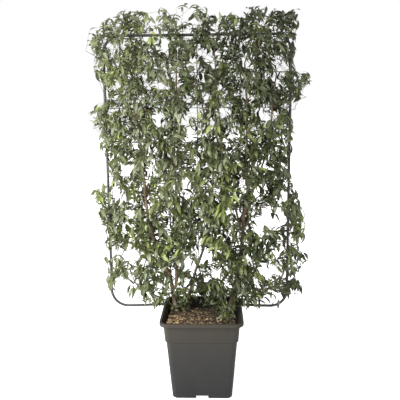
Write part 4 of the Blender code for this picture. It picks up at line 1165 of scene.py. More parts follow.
# Where the leaves end in the photograph: at the left and right by height, and at the top by x
LEAVES_LEFT = metres(
    (420, -560), (510, -600), (560, -585), (650, -585), (690, -600), (740, -572), (780, -645),
    (830, -600), (870, -600), (910, -640), (960, -645), (1000, -610), (1040, -650), (1080, -680),
    (1120, -680), (1150, -600), (1210, -570), (1300, -570), (1340, -605), (1380, -620), (1420, -645),
    (1460, -605), (1500, -655), (1540, -675), (1580, -675), (1620, -600), (1660, -555), (1730, -555),
    (1780, -615), (1860, -635), (1900, -625), (1940, -635), (1980, -670), (2010, -640), (2060, -620),
    (2100, -600), (2140, -530), (2180, -430))
LEAVES_RIGHT = metres(
    (430, 520), (470, 625), (510, 635), (560, 575), (600, 575), (650, 630), (690, 645), (740, 610),
    (780, 580), (830, 615), (910, 615), (1000, 605), (1040, 580), (1080, 585), (1130, 560), (1170, 540),
    (1250, 535), (1300, 525), (1380, 525), (1420, 540), (1460, 585), (1500, 590), (1540, 505),
    (1620, 510), (1660, 580), (1710, 585), (1740, 645), (1790, 640), (1810, 550), (1860, 525),
    (1940, 550), (1980, 540), (2020, 550), (2100, 555), (2170, 575), (2200, 590))
LEAVES_TOP = metres(
    (-620, 2070), (-560, 2100), (-520, 2140), (-476, 2140), (-436, 2195), (-395, 2180), (-355, 2150),
    (-315, 2170), (-275, 2140), (-235, 2185), (-155, 2165), (-115, 2185), (-75, 2215), (-35, 2200),
    (45, 2150), (85, 2155), (200, 2155), (284, 2175), (324, 2187), (403, 2160), (442, 2175),
    (482, 2140), (522, 2170), (600, 2140))

# Where the furthest sprigs end: x and height
FURTHEST_TIPS = metres(
    (-440, 2178), (-80, 2212), (323, 2185), (555, 2188), (-675, 1990), (-665, 1590), (-675, 1140),
    (-632, 860), (645, 1768), (650, 692), (612, 960))

# Columns of foliage masses: name, left, right, rows and how far the seams between rows are moved
COLUMNS = (("far_left", -0.7, -0.44, 4, 0.04), ("left", -0.44, -0.245, 5, 0.05),
           ("inner_left", -0.245, -0.07, 5, -0.04), ("inner_right", -0.07, 0.15, 5, 0.05),
           ("right", 0.15, 0.345, 5, -0.05), ("far_right", 0.345, 0.68, 4, 0.0))
CROWN_FOOT = 0.36
CROWN_HEAD = 2.23
ROW_SPILL = 0.05
POT_ROOM = Vector((0.01, 0.02, 0.012))
NEAR_REACH = 0.06


def along_outline(outline, place):
    """Read an outline of (place, reach) pairs at a place, in straight stretches."""
    for (start, reach_a), (end, reach_b) in zip(outline, outline[1:]):
        if place <= end:
            return between(reach_a, reach_b, clamped((place - start) / (end - start)))
    return outline[-1][1]


def seam_place(point):
    """Column and row place of a point, along seams that wave and slant so no straight joint shows."""
    deep = point.y - FRAME_Y
    across = point.x + SEAM_WAVE * math.sin(2 * math.pi * point.z / SEAM_PITCH) + SEAM_SLANT * deep
    wave = SEAM_WAVE * math.sin(2 * math.pi * point.x / SEAM_PITCH + SEAM_SHIFT)
    return across, point.z + wave + SEAM_SLANT * deep


def crown_spaces():
    """Each foliage mass's own space: a name and its limits along the seams."""
    spaces = []
    for name, left, right, rows, stagger in COLUMNS:
        edges = [CROWN_FOOT + (CROWN_HEAD - CROWN_FOOT) * row / rows for row in range(rows + 1)]
        for row in range(rows):
            low = edges[row] + (stagger if row else -ROW_SPILL)
            high = edges[row + 1] + (stagger if row < rows - 1 else ROW_SPILL)
            spaces.append({"name": "foliage_%s_%d" % (name, row + 1), "column": name, "left": left,
                           "right": right, "low": low, "high": high, "top_row": row == rows - 1})
    return spaces


def inside_crown(point, drop=0.0):
    """Whether a point lies within the crown's outline, or a little past its foot or top, clear of the pot."""
    if not CROWN_FRONT <= point.y <= CROWN_BACK:
        return False
    if not along_outline(CROWN_LEFT, point.z) <= point.x <= along_outline(CROWN_RIGHT, point.z):
        return False
    foot, head = along_outline(CROWN_BOTTOM, point.x), along_outline(CROWN_TOP, point.x)
    if not foot - drop <= point.z <= head + drop / 2:
        return False
    over_pot = abs(point.x) < RIM_HALF + POT_ROOM.x and point.y < RIM_HALF + POT_ROOM.y
    return not (over_pot and point.z < POT_HEIGHT + POT_ROOM.z)


def inside_space(point, space):
    """Whether a point lies in a mass's own space, a margin away from its seams."""
    across, upward = seam_place(point)
    if not space["left"] + SPACE_MARGIN <= across <= space["right"] - SPACE_MARGIN:
        return False
    if not space["low"] + SPACE_MARGIN <= upward <= space["high"] - SPACE_MARGIN:
        return False
    return inside_crown(point)


def in_patch(point, patches, reach):
    """Whether a point lies in one of several oval patches."""
    return any(((point.x - x) / half_x) ** 2 + ((point.z - z) / half_z) ** 2 < reach
               for x, z, half_x, half_z in patches)


def in_sky(point):
    """Whether a point lies in a patch of the crown that stays open."""
    return in_patch(point, SKY, 1.0)


def through_sky(start, end):
    """Whether a straight stretch runs through a patch of open sky."""
    return any(in_sky(start.lerp(end, share)) for share in SKY_SHARES)


def before_sky(point, reach):
    """Whether a point stands before or behind open sky, seen from the photograph's place.

    The patches have ragged edges, and small speckles of sky lie between them, most near the top.
    """
    run = point - CAMERA_PLACE
    place = CAMERA_PLACE + run * ((CROWN_MIDDLE - CAMERA_PLACE.y) / run.y)
    if not along_outline(LEAVES_LEFT, place.z) < place.x < along_outline(LEAVES_RIGHT, place.z):
        return True
    if place.z > along_outline(LEAVES_TOP, place.x):
        return True
    ragged = place + noise.noise_vector(place * RAGGED_PITCH) * RAGGED_DEPTH
    if in_patch(ragged, FULL_PLACES, 1.0):
        return False
    if in_patch(ragged, OPEN_SKY, reach):
        return True
    limit = along_outline(SPECKLE_LIMITS, place.z) - along_outline(SPECKLE_THIN, place.x)
    return noise.noise(Vector((place.x, SPECKLE_SLICE, place.z)) * SPECKLE_PITCH) > limit + SKY_REACH - reach


def bare_wood_shows(leaf):
    """Whether a leaf leaves in view the wood and tube that show bare."""
    for share in BARE_SHARES:
        point = leaf["root"].lerp(leaf["tip"], share)
        place = CAMERA_PLACE.lerp(point, (LIMB_Y - CAMERA_PLACE.y) / (point.y - CAMERA_PLACE.y))
        if point.y < LIMB_Y and in_patch(place, BARE_WOOD, 1.0):
            return False
    return True


# Clearances

def segment_distance(a, b, c, d):
    """The least distance between segments a-b and c-d."""
    run_a, run_c, offset = b - a, d - c, a - c
    aa, cc, ac = run_a.dot(run_a), run_c.dot(run_c), run_a.dot(run_c)
    ao, co = run_a.dot(offset), run_c.dot(offset)
    scale = aa * cc - ac * ac
    s = clamped((ac * co - cc * ao) / scale) if scale > 1e-12 else 0.0
    t = (ac * s + co) / cc
    if not 0.0 <= t <= 1.0:
        t = clamped(t)
        s = clamped((ac * t - ao) / aa)
    return (a + run_a * s - c - run_c * t).length


def crosses(a, b, triangle):
    """Whether segment a-b passes through a triangle."""
    run = b - a
    hit = intersect_ray_tri(*triangle, run, a, True)
    return hit is not None and (hit - a).length <= run.length


def limb_bars(limbs):
    """Every limb as straight stretches: two ends and a radius."""
    bars = []
    for limb in limbs.values():
        bars += zip(limb["path"], limb["path"][1:], limb["radii"])
    return bars


def bars_near(bars, space):
    """The bars that come near a mass's space."""
    return [(a, b, radius) for a, b, radius in bars
            if min(a.x, b.x) <= space["right"] + NEAR_REACH and max(a.x, b.x) >= space["left"] - NEAR_REACH
            and min(a.z, b.z) <= space["high"] + NEAR_REACH and max(a.z, b.z) >= space["low"] - NEAR_REACH]


# Leaves of the rule

def leaf_shape(root, along, facing, length, width_share=LEAF_WIDTH_SHARE):
    """The corners of one leaf's blade: its root, two sides and a drooping tip."""
    across = along.cross(facing).normalized()
    top = across.cross(along).normalized()
    half = length * width_share / 2
    middle = root + along * length * LEAF_WIDEST + top * length * LEAF_LIFT
    return {"root": root, "along": along, "across": across, "top": top, "length": length,
            "sides": (middle + across * half, middle - across * half),
            "tip": root + along * length - top * length * LEAF_DROOP}


def leaf_edges(leaf):
    """The blade's four edges and its midrib."""
    left, right = leaf["sides"]
    root, tip = leaf["root"], leaf["tip"]
    return ((root, left), (left, tip), (tip, right), (right, root), (root, tip))


def leaf_triangles(leaf):
    """The blade's two halves."""
    left, right = leaf["sides"]
    return ((leaf["root"], left, leaf["tip"]), (leaf["root"], leaf["tip"], right))


def leaf_clear_of_bars(leaf, bars):
    """Whether a blade keeps clear of limbs, tubes and wires."""
    width = leaf["length"] * LEAF_WIDTH_SHARE
    for a, b, radius in bars:
        if segment_distance(leaf["root"], leaf["tip"], a, b) > width + radius + LEAF_CLEARANCE:
            continue
        if any(crosses(a, b, triangle) for triangle in leaf_triangles(leaf)):
            return False
        if any(segment_distance(c, d, a, b) < radius + LEAF_CLEARANCE for c, d in leaf_edges(leaf)):
            return False
    return True


def leaves_cross(one, other):
    """Whether two blades pass through each other."""
    middles = [leaf["root"].lerp(leaf["tip"], 0.5) for leaf in (one, other)]
    if (middles[0] - middles[1]).length > one["length"] + other["length"]:
        return False
    for first, second in ((one, other), (other, one)):
        for a, b in leaf_edges(first):
            if any(crosses(a, b, triangle) for triangle in leaf_triangles(second)):
                return True
    return False


def twig_clear(a, b, bars, leaves):
    """Whether a straight twig keeps clear of limbs and wires, and of the leaves already set."""
    if any(segment_distance(a, b, c, d) < radius + TWIG_CLEARANCE for c, d, radius in bars):
        return False
    return not any(crosses(a, b, triangle) for leaf in leaves for triangle in leaf_triangles(leaf))


# The growth rule of a foliage mass

def wished_leaf(rng, site, side, space, outward, lengths=LEAF_LENGTH):
    """One try at a leaf whose middle lies at a site, turned out of the hedge."""
    length = rng.uniform(*lengths)
    at_top = space["top_row"] and site.z > CROWN_HEAD - TOP_BAND
    rise = rng.uniform(*(TOP_RISE if at_top else SHOOT_RISE))
    lean = rng.uniform(-1, 1) + outward * OUTWARD_LEAN
    along = Vector((lean, side * rng.uniform(0, SIDE_LEAN), rise)).normalized()
    facing = Vector((rng.uniform(-FACING_ACROSS, FACING_ACROSS), side, rng.uniform(*FACING_UP)))
    if abs(facing.normalized().dot(along)) > NEARLY_ALONG:
        facing.z += 1.0
    return leaf_shape(site - along * length / 2, along, facing, length)


def leaf_fits(leaf, space, bars, leaves):
    """Whether a leaf keeps to the mass's space, off the open sky and clear of all the rest."""
    corners = (leaf["root"], *leaf["sides"], leaf["tip"])
    if not all(inside_space(corner, space) for corner in corners):
        return False
    if through_sky(leaf["root"], leaf["tip"]) or any(in_sky(corner) for corner in corners):
        return False
    if not leaf_clear_of_bars(leaf, bars):
        return False
    return not any(leaves_cross(leaf, other) for other in leaves)


def cell_middles(low, high, pitch):
    """The middles of even cells, each about one pitch wide."""
    count = max(2, round((high - low) / pitch))
    return [low + (high - low) * (index + 0.5) / count for index in range(count)]


def leaf_sites(rng, space, pitch=SITE_PITCH):
    """Places over the mass's face, shuffled, each towards the front or the back."""
    sites = [(x, z, -1 if (column + row) % 2 else 1)
             for column, x in enumerate(cell_middles(space["left"], space["right"], pitch))
             for row, z in enumerate(cell_middles(space["low"], space["high"], pitch))]
    rng.shuffle(sites)
    return sites


def jittered(rng, x, z, side, depths, pitch):
    """A site moved at random within its cell and set at a depth."""
    deep = side * rng.uniform(*depths)
    shift = -SEAM_SLANT * deep
    jitter = [rng.uniform(-SITE_JITTER, SITE_JITTER) * pitch for _ in range(2)]
    return Vector((x + shift + jitter[0], CROWN_MIDDLE + deep, z + shift + jitter[1]))


def tip_leaf(rng, x, z):
    """One try at a leaf that ends at one of the crown's furthest tips."""
    length = rng.uniform(*LEAF_LENGTH)
    tip = Vector((x, FRAME_Y + rng.uniform(-TIP_DEPTH, TIP_DEPTH), z))
    lean, depth, rise = [rng.uniform(-TIP_LEAN, TIP_LEAN) for _ in range(3)]
    at_top = z > CROWN_HEAD - TOP_BAND / 2
    along = Vector((lean, depth, 1.0) if at_top else (math.copysign(1.0, x), depth, rise)).normalized()
    across = rng.uniform(-FACING_ACROSS, FACING_ACROSS)
    facing = Vector((across, rng.choice((-1, 1)), rng.uniform(0, FACING_ACROSS)))
    leaf = leaf_shape(tip - along * length, along, facing, length)
    return leaf_shape(leaf["root"] + tip - leaf["tip"], along, facing, length)


def outward_of(space):
    """The way a mass leans beyond the frame: left, right or neither."""
    return {"far_left": -1, "far_right": 1}.get(space["column"], 0)


def choose_leaves(rng, space, bars):
    """Leaves for every place of the mass where one fits, clear of limbs and of each other."""
    leaves = []
    for x, z in FURTHEST_TIPS:
        for _ in range(TIP_TRIES):
            leaf = tip_leaf(rng, x, z)
            if leaf_fits(leaf, space, bars, leaves):
                leaves.append(leaf)
                break
    for x, z, side in leaf_sites(rng, space):
        for attempt in range(TRIES):
            depths = DEEP_SITES if attempt < TRIES / 2 else SHALLOW_SITES
            site = jittered(rng, x, z, side, depths, SITE_PITCH)
            leaf = wished_leaf(rng, site, side, space, outward_of(space))
            if leaf_fits(leaf, space, bars, leaves):
                leaves.append(leaf)
                break
    return leaves


def main_stem(foot, out, leaves, space, bars):
    """The mass's stem: square off its limb, then bent towards the furthest leaf it can reach."""
    knee = foot + out * SOCKET
    if not inside_space(knee, space):
        return None
    for leaf in sorted(leaves, key=lambda leaf: -(leaf["root"] - knee).length):
        others = [other for other in leaves if other is not leaf]
        for bulge in (-STEM_BULGE, STEM_BULGE, -2 * STEM_BULGE, 0.0):
            path = [foot, knee, knee.lerp(leaf["root"], 0.5) + Vector((0, bulge, 0)), leaf["root"]]
            if (path[3] - path[2]).normalized().dot(leaf["along"]) < SHARPEST_TURN:
                continue
            if (path[2] - knee).normalized().dot(out) < SHARPEST_TURN / 2:
                continue
            if through_sky(path[2], path[3]):
                continue
            if all(twig_clear(a, b, bars, others) and inside_space(b, space)
                   for a, b in zip(path[1:], path[2:])):
                return {"path": path, "radii": list(STEM_RADII), "leaf": leaf, "level": 0}
    return None


def grow_mass(foot, out, leaves, space, bars):
    """Grow one mass from its foot: a stem to its furthest leaf, then a twig to every other leaf."""
    stem = main_stem(foot, out, leaves, space, bars)
    if stem is None:
        return []
    twigs = [stem]
    waiting = [leaf for leaf in leaves if leaf is not stem["leaf"]]
    waiting.sort(key=lambda leaf: (leaf["root"] - foot).length)
    for leaf in waiting:
        twig = side_twig(leaf, twigs, space, bars, waiting)
        if twig:
            twigs.append(twig)
    return twigs


def twig_sockets(twigs):
    """Places on the twigs where a side twig can start, each with its twig's level."""
    sockets = []
    for twig in twigs:
        path = twig["path"] if twig["level"] else twig["path"][1:]
        for start, end in zip(path, path[1:]):
            if (end - start).length >= SHORTEST_TWIG:
                sockets += [(start.lerp(end, share), twig["level"]) for share in SOCKET_SHARES]
    return sockets


def straight_twig(start, end, leaf, level):
    """A straight twig that carries a leaf."""
    return {"path": [start, end], "radii": [TWIG_RADIUS, LEAF_ROOT], "leaf": leaf, "level": level}


def side_twig(leaf, twigs, space, bars, leaves):
    """A straight twig to a leaf's root from the nearest socket that reaches it clear."""
    root = leaf["root"]
    others = [other for other in leaves if other is not leaf]
    others += [twig["leaf"] for twig in twigs]
    sockets = sorted(twig_sockets(twigs), key=lambda socket: (socket[0] - root).length)
    for start, level in sockets[:SOCKETS_TRIED]:
        run = root - start
        if not TWIG_REACH[0] < run.length < TWIG_REACH[1]:
            continue
        if run.normalized().dot(leaf["along"]) < SHARPEST_TURN or through_sky(start, root):
            continue
        if inside_space(start.lerp(root, 0.5), space) and twig_clear(start, root, bars, others):
            return straight_twig(start, root, leaf, level + 1)
    return None


def mass_seats(space, limbs):
    """Where a mass's stem can meet a limb, best first: a bough's tip, or a place on a limb's side."""
    middle = Vector(((space["left"] + space["right"]) / 2, LIMB_Y, (space["low"] + space["high"]) / 2))
    wished = middle.copy()
    wished.z = space["low"] + SEAT_HEIGHT * (space["high"] - space["low"])
    tips, sides = [], []
    for limb in limbs.values():
        path = limb["path"]
        tip, along = path[-1], limb["frames"][-1][0]
        if inside_space(tip, space):
            tips.append((tip + along * GAP, along))
        for start, end in zip(path[1:], path[2:]):
            point = start.lerp(end, 0.5)
            if inside_space(point, space):
                sides.append(((point - wished).length, limb, point))
    seats = tips if space["top_row"] else []
    for _, limb, point in sorted(sides, key=lambda entry: entry[0]):
        inward = (middle - point).normalized()
        wishes = [(inward.x, SEAT_FORWARD, 0), inward, (0, -1, 0), (0, 1, 0), (1, 0, 0), (-1, 0, 0)]
        seats += [seat(limb, point, Vector(wish)) for wish in wishes]
    return seats


def grown_twigs(space, limbs, near):
    """The solids' twigs of one mass, from the seat that carries most of its leaves."""
    rng = random.Random("%s %d" % (space["name"], SEED))
    leaves = choose_leaves(rng, space, near)
    twigs = []
    for foot, out in mass_seats(space, limbs)[:SEATS_TRIED]:
        grown = grow_mass(foot, out, leaves, space, near)
        if len(grown) > len(twigs):
            twigs = grown
        if len(twigs) >= GOOD_SHARE * len(leaves):
            break
    return twigs


# Finer growth

def fine_twigs(rng, space, twigs, near):
    """Shorter sprays on twigs of their own, between those of the rule and within the same reach."""
    more = []
    for x, z, side in leaf_sites(rng, space, FINE_PITCH):
        for _ in range(FINE_TRIES):
            site = jittered(rng, x, z, side, (0.0, DEEP_SITES[1]), FINE_PITCH)
            blade = wished_leaf(rng, site, side, space, outward_of(space), FINE_LENGTH)
            if not inside_space(blade["root"], space) or not inside_crown(blade["tip"]):
                continue
            if before_sky(blade["root"], SKY_REACH) or before_sky(blade["tip"], SKY_REACH):
                continue
            if not twig_clear(blade["root"], blade["tip"], near, ()):
                continue
            twig = side_twig(blade, twigs, space, near, ())
            if twig:
                more.append(twig)
                break
    return more


def limb_twigs(rng, limb, bars):
    """Short twigs straight off a limb, so that leaves hide much of its wood."""
    more = []
    for start, end in zip(limb["path"][1:], limb["path"][2:]):
        near = [bar for bar in bars if segment_distance(start, end, bar[0], bar[1]) < 2 * LIMB_TWIG[1]]
        for _ in range(max(1, round((end - start).length / LIMB_PITCH))):
            turn = rng.uniform(0, math.pi)
            front = -1 if rng.random() < TWIG_SPREAD else 1
            wish = Vector((math.cos(turn), front * math.sin(turn), 0))
            foot, out = seat(limb, start.lerp(end, rng.random()), wish)
            root = foot + out * rng.uniform(*LIMB_TWIG)
            bend = Vector((rng.gauss(0, LIMB_TWIG_BEND), 0, rng.uniform(*LIMB_TWIG_RISE)))
            facing = UP + out * LIMB_TWIG_FACING
            blade = leaf_shape(root, (out + bend).normalized(), facing, rng.uniform(*FINE_LENGTH))
            if not inside_crown(root) or before_sky(root, SKY_REACH) or before_sky(blade["tip"], SKY_REACH):
                continue
            if twig_clear(foot + out * 1.5 * TWIG_CLEARANCE, root, near, ()):
                more.append(straight_twig(foot, root, blade, 1))
    return more


def bent(leaf, share):
    """The point of a bent leaf's midrib at a share of its length."""
    turn = leaf["bend"] * share
    reach = leaf["length"] / leaf["bend"]
    return leaf["root"] + leaf["along"] * reach * math.sin(turn) - leaf["top"] * reach * (1 - math.cos(turn))


def real_leaf(rng, root, direction, facing, length, width):
    """One real leaf: its place, and how far it bends down, folds and waves."""
    leaf = leaf_shape(root, direction, facing, length, width)
    leaf["bend"] = rng.uniform(*LEAF_BEND)
    leaf["fold"] = rng.uniform(*LEAF_FOLD)
    leaf["wave"] = rng.uniform(-LEAF_WAVE, LEAF_WAVE)
    half = (leaf["sides"][0] - leaf["sides"][1]) / 2
    middle = bent(leaf, LEAF_WIDEST)
    leaf["sides"] = (middle + half, middle - half)
    leaf["tip"] = bent(leaf, 1.0)
    return leaf


def spray(rng, blade, fits, size):
    """The shoot that a blade stands for: its leaves stand all round it, spread wide and arch down."""
    count = max(FEWEST_LEAVES, round(blade["length"] * SHOOT_SHARE / NODE_PITCH))
    step = blade["length"] * SHOOT_SHARE / count
    along = blade["along"].copy()
    path = [blade["root"].copy()]
    leaves = []
    kept = 0
    turn = rng.uniform(0, 2 * math.pi)
    for index in range(1, count + 1):
        stray = Vector([rng.gauss(0, SHOOT_STRAY) for _ in range(3)])
        along = (along + Vector((0, 0, SHOOT_LIFT)) + stray).normalized()
        path.append(path[-1] + along * step)
        turn += LEAF_TURN + rng.gauss(0, LEAF_TURN_STRAY)
        out = blade["across"] * math.cos(turn) + blade["top"] * math.sin(turn)
        spread = rng.uniform(*LEAF_SPREAD) * (1 - SPREAD_FALL * (index / count) ** 3)
        direction = along * math.cos(spread) + out * math.sin(spread)
        direction = (direction - Vector((0, 0, rng.uniform(*LEAF_SAG)))).normalized()
        facing = UP + out * LEAF_FACING + Vector([rng.gauss(0, LEAF_STRAY) for _ in range(3)])
        if abs(facing.normalized().dot(direction)) > NEARLY_ALONG:
            facing = facing + out
        length = rng.uniform(*REAL_LEAF) * size * (END_LEAF if index in (1, count) else 1.0)
        width = rng.uniform(*REAL_WIDTH) * by_height(path[-1].z, *WIDTH_BY_HEIGHT)
        leaf = real_leaf(rng, path[-1] + direction * PETIOLE, direction, facing, length, width)
        leaf["stalk"] = path[-1]
        leaf["youth"] = index / count
        if fits(leaf):
            leaves.append(leaf)
            kept = index
    return path[:kept + 1], leaves


def by_height(height, at_foot, at_head):
    """A value that changes evenly from the crown's foot to its head."""
    return between(at_foot, at_head, clamped((height - FRAME_FOOT) / (CROWN_HEAD - FRAME_FOOT)))


def real_leaf_fits(leaf, near):
    """Whether a real leaf stays within the crown, off the open sky and clear of limbs and wires."""
    middle = leaf["root"].lerp(leaf["tip"], 0.5)
    if not inside_crown(leaf["tip"], LEAF_HANG) or not inside_crown(middle, LEAF_HANG):
        return False
    if before_sky(middle, SKY_REACH) or before_sky(leaf["tip"], SKY_CORE):
        return False
    return bare_wood_shows(leaf) and leaf_clear_of_bars(leaf, near)


# Upper colour, under colour and upper roughness of each kind of leaf; where spray_colour deals them by place,
# deep stands for painted shade and pale and grey for painted light
LEAF_COLOURS = {
    "deep": ((0.038, 0.05, 0.015), (0.072, 0.087, 0.041), 0.37),
    "green": ((0.08, 0.102, 0.031), (0.12, 0.142, 0.062), 0.38),
    "grey": ((0.13, 0.153, 0.072), (0.165, 0.185, 0.098), 0.42),
    "pale": ((0.205, 0.226, 0.13), (0.225, 0.243, 0.145), 0.44),
    "olive": ((0.142, 0.165, 0.05), (0.17, 0.19, 0.076), 0.4),
    "young": ((0.225, 0.276, 0.078), (0.25, 0.29, 0.11), 0.42),
    "bronze": ((0.15, 0.09, 0.046), (0.175, 0.112, 0.064), 0.42),
}

# Shares of the colours at the crown's left and right, paler at the left as painted light and deeper at the
# right as painted shade, and of the extra deep behind the frame as painted shade
SHARES = {"deep": (0.04, 0.44), "green": (0.24, 0.27), "grey": (0.39, 0.13), "pale": (0.2, 0.04),
          "olive": (0.13, 0.12)}
SHADED_SHARE = (0.1, 0.5)

# Where the crown goes from its left colours, with painted light, to its right colours, with painted shade,
# and the extra deep at the right by height as painted shade
PAINTED_LIGHT_AND_SHADE_SIDES = (-0.16, 0.38)
PAINTED_SHADE_BY_HEIGHT = ((0.4, 0.75), (0.75, 0.35), (1.0, 0.0), (1.5, 0.0), (1.8, 0.4), (2.0, 0.9),
                  (2.23, 1.0))
PAINTED_SHADE_OVER_POT = 0.5
OVER_POT = 0.07
YOUNG_IN_PLACE = 0.4
YOUNG_ELSEWHERE = 0.02
FRESH_FROM = 0.8
FRESH_SHARE = 0.15


def near_place(place, x, z, reach):
    """Whether a point is within reach of a place, seen from the front."""
    return (place.x - x) ** 2 + (place.z - z) ** 2 < reach ** 2


def spray_colour(rng, place):
    """The colour of a spray: young where new growth shows, otherwise dealt out by its share, with painted
    light in paler colours at the left and painted shade in deep ones at the right, behind the frame, over the
    pot and by height.
    """
    if rng.random() < BRONZE_SHARE and any(near_place(place, x, z, BRONZE_REACH) for x, z in BRONZE_PLACES):
        return "bronze"
    if place.y < FRAME_Y and any(near_place(place, *young) for young in YOUNG_PLACES):
        return "young" if rng.random() < YOUNG_IN_PLACE else "olive"
    if rng.random() < YOUNG_ELSEWHERE:
        return "young"
    # painted shade: low sprays over the pot are mostly deep
    if place.z < POT_HEIGHT + OVER_POT and abs(place.x) < RIM_HALF and rng.random() < PAINTED_SHADE_OVER_POT:
        return "deep"
    # painted light and shade: across runs from the lit left to the shaded right
    across = clamped((place.x - PAINTED_LIGHT_AND_SHADE_SIDES[0]) / (PAINTED_LIGHT_AND_SHADE_SIDES[1] - PAINTED_LIGHT_AND_SHADE_SIDES[0]))
    if rng.random() < across * along_outline(PAINTED_SHADE_BY_HEIGHT, place.z):
        return "deep"
    # painted shade: sprays behind the frame are more often deep
    if place.y > FRAME_Y and rng.random() < between(*SHADED_SHARE, across):
        return "deep"
    shares = [between(left, right, across) for left, right in SHARES.values()]
    return rng.choices(list(SHARES), shares)[0]


def leaf_points(leaves):
    """The points of many leaves at once: folded along the midrib, bent along their length."""
    root, along, top = [np.array([leaf[key] for leaf in leaves]) for key in ("root", "along", "top")]
    across = np.cross(top, along)
    length, bend, fold, wave = [np.array([leaf[key] for leaf in leaves])[:, None]
                                for key in ("length", "bend", "fold", "wave")]
    width = np.array([(leaf["sides"][0] - leaf["sides"][1]).length for leaf in leaves])[:, None]
    points = np.empty((len(leaves), 4 * len(LEAF_STATIONS) + 2, 3))
    points[:, 0] = root

    def centre(share):
        angle = bend * share
        forward = length * np.sin(angle) / bend
        return root + along * forward - top * length * (1 - np.cos(angle)) / bend

    for index, (share, wide) in enumerate(LEAF_STATIONS):
        normal = top * np.cos(bend * share) + along * np.sin(bend * share)
        middle = centre(share)
        half = width * wide / 2
        out = across * np.cos(fold) * half
        lift = normal * np.sin(fold) * half
        ripple = normal * wave * length * math.sin(LEAF_RIPPLE * share)
        points[:, 1 + 4 * index] = middle + out + lift + ripple
        points[:, 2 + 4 * index] = middle - out + lift - ripple
        points[:, 3 + 4 * index] = middle
        points[:, 4 + 4 * index] = middle - normal * LEAF_THICKNESS
    points[:, -1] = centre(1.0)
    return points


def leaf_faces():
    """Triangles of one leaf, its upper side first."""
    tip = 4 * len(LEAF_STATIONS) + 1
    rows = [(1 + 4 * index, 2 + 4 * index, 3 + 4 * index, 4 + 4 * index)
            for index in range(len(LEAF_STATIONS))]
    upper, under = [], []
    for side, rib in ((upper, 2), (under, 3)):
        first, last = rows[0], rows[-1]
        side += [(0, first[1], first[rib]), (0, first[rib], first[0])]
        for here, ahead in zip(rows, rows[1:]):
            side += [(here[1], ahead[1], ahead[rib]), (here[1], ahead[rib], here[rib]),
                     (here[rib], ahead[rib], ahead[0]), (here[rib], ahead[0], here[0])]
        side += [(last[1], tip, last[rib]), (last[rib], tip, last[0])]
    return np.array(upper + [face[::-1] for face in under]), len(upper)


def leaves_piece(name, leaves, *looks):
    """One piece of many leaves, with the first look on top and the last below."""
    points = leaf_points(leaves)
    faces, upper_count = leaf_faces()
    slots = np.tile(np.arange(len(faces)) >= upper_count, len(leaves)) * (len(looks) - 1)
    triangles = copied_faces(faces, len(leaves), points.shape[1])
    mesh = mesh_from_triangles(name, points.reshape(-1, 3), triangles, slots)
    for look in looks:
        mesh.materials.append(look)
    return piece_from_mesh(name, mesh, "leaves", LEAF_SHARP)


def grown_groups(rng, limbs, bars):
    """Every mass's twigs, then each limb's own short twigs, with the bars near each group."""
    groups = []
    for space in crown_spaces():
        near = bars_near(bars, space)
        twigs = grown_twigs(space, limbs, near)
        groups.append((twigs + fine_twigs(rng, space, twigs, near), near))
    for limb in limbs.values():
        near = [bar for bar in bars if any(segment_distance(a, b, *bar[:2]) < LIMB_NEAR
                                           for a, b in zip(limb["path"], limb["path"][1:]))]
        groups.append((limb_twigs(rng, limb, near), near))
    return groups


def add_spray(rng, shoot, leaves, by_colour, wood):
    """Deal a spray's leaves out by colour and add its shoot and leaf stalks."""
    radii = [SHOOT_RADIUS - SHOOT_THINNING * index / (len(shoot) - 1) for index in range(len(shoot))]
    wood["shoots"].append(tube(shoot, radii, SHOOT_SIDES))
    colour = spray_colour(rng, shoot[len(shoot) // 2])
    for leaf in leaves:
        wood["leaf_stalks"].append(tube([leaf["stalk"], leaf["root"]], STALK_RADII, STALK_SIDES))
        fresh = colour in ("green", "olive") and leaf["youth"] > FRESH_FROM and rng.random() < FRESH_SHARE
        plain = colour == "bronze" and rng.random() > BRONZE_LEAVES
        by_colour["young" if fresh else "olive" if plain else colour].append(leaf)


def make_crown(limbs):
    """Grow every mass, carry it on to real leaves and join the leaves, shoots and twigs."""
    bars = frame_bars() + limb_bars(limbs)
    rng = random.Random("sprays %d" % SEED)
    by_colour = {name: [] for name in LEAF_COLOURS}
    wood = {name: [] for name in ("twigs", "shoots", "leaf_stalks")}
    for twigs, near in grown_groups(rng, limbs, bars):
        for twig in twigs:
            path = list(twig["path"])
            path[0] = path[0] - (path[1] - path[0]).normalized() * TWIG_SOCKET
            slimming = TWIG_SLIMMING if twig["level"] else STEM_SLIMMING
            radii = [radius * slimming for radius in twig["radii"]]
            size = rng.uniform(*SPRAY_SIZE) * by_height(twig["leaf"]["root"].z, *SIZE_BY_HEIGHT)
            shoot, leaves = spray(rng, twig["leaf"], lambda leaf: real_leaf_fits(leaf, near), size)
            if leaves or not twig["level"]:
                wood["twigs"].append(tube(path, radii, TWIG_SIDES))
            if leaves:
                add_spray(rng, shoot, leaves, by_colour, wood)
    for foot, blade, size in basal_blades(rng) + overhanging_blades(rng, limbs):
        shoot, leaves = spray(rng, blade, lambda leaf: basal_leaf_fits(leaf, bars), size)
        if leaves:
            wood["twigs"].append(tube([foot, blade["root"]], LOW_TWIG_RADII, TWIG_SIDES))
            add_spray(rng, shoot, leaves, by_colour, wood)
    masses = [space["name"] for space in crown_spaces()]
    for name, leaves in by_colour.items():
        upper, under, roughness = LEAF_COLOURS[name]
        looks = (leaf_look("leaf_%s_upper" % name, upper, roughness),
                 leaf_look("leaf_%s_under" % name, under, UNDER_ROUGHNESS))
        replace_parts(leaves_piece("leaves_" + name, leaves, *looks), *masses)
    twig_bark = bark_look("twig_bark", (0.07, 0.052, 0.032), (0.135, 0.1, 0.062), (0.23, 0.19, 0.12))
    shoot_skin = bark_look("shoot_skin", (0.075, 0.065, 0.026), (0.1, 0.108, 0.036), (0.16, 0.18, 0.07))
    for name, parts in wood.items():
        look = twig_bark if name == "twigs" else shoot_skin
        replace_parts(piece_from_faces(name, *joined(parts), look, "bark", WOOD_SHARP), *masses)


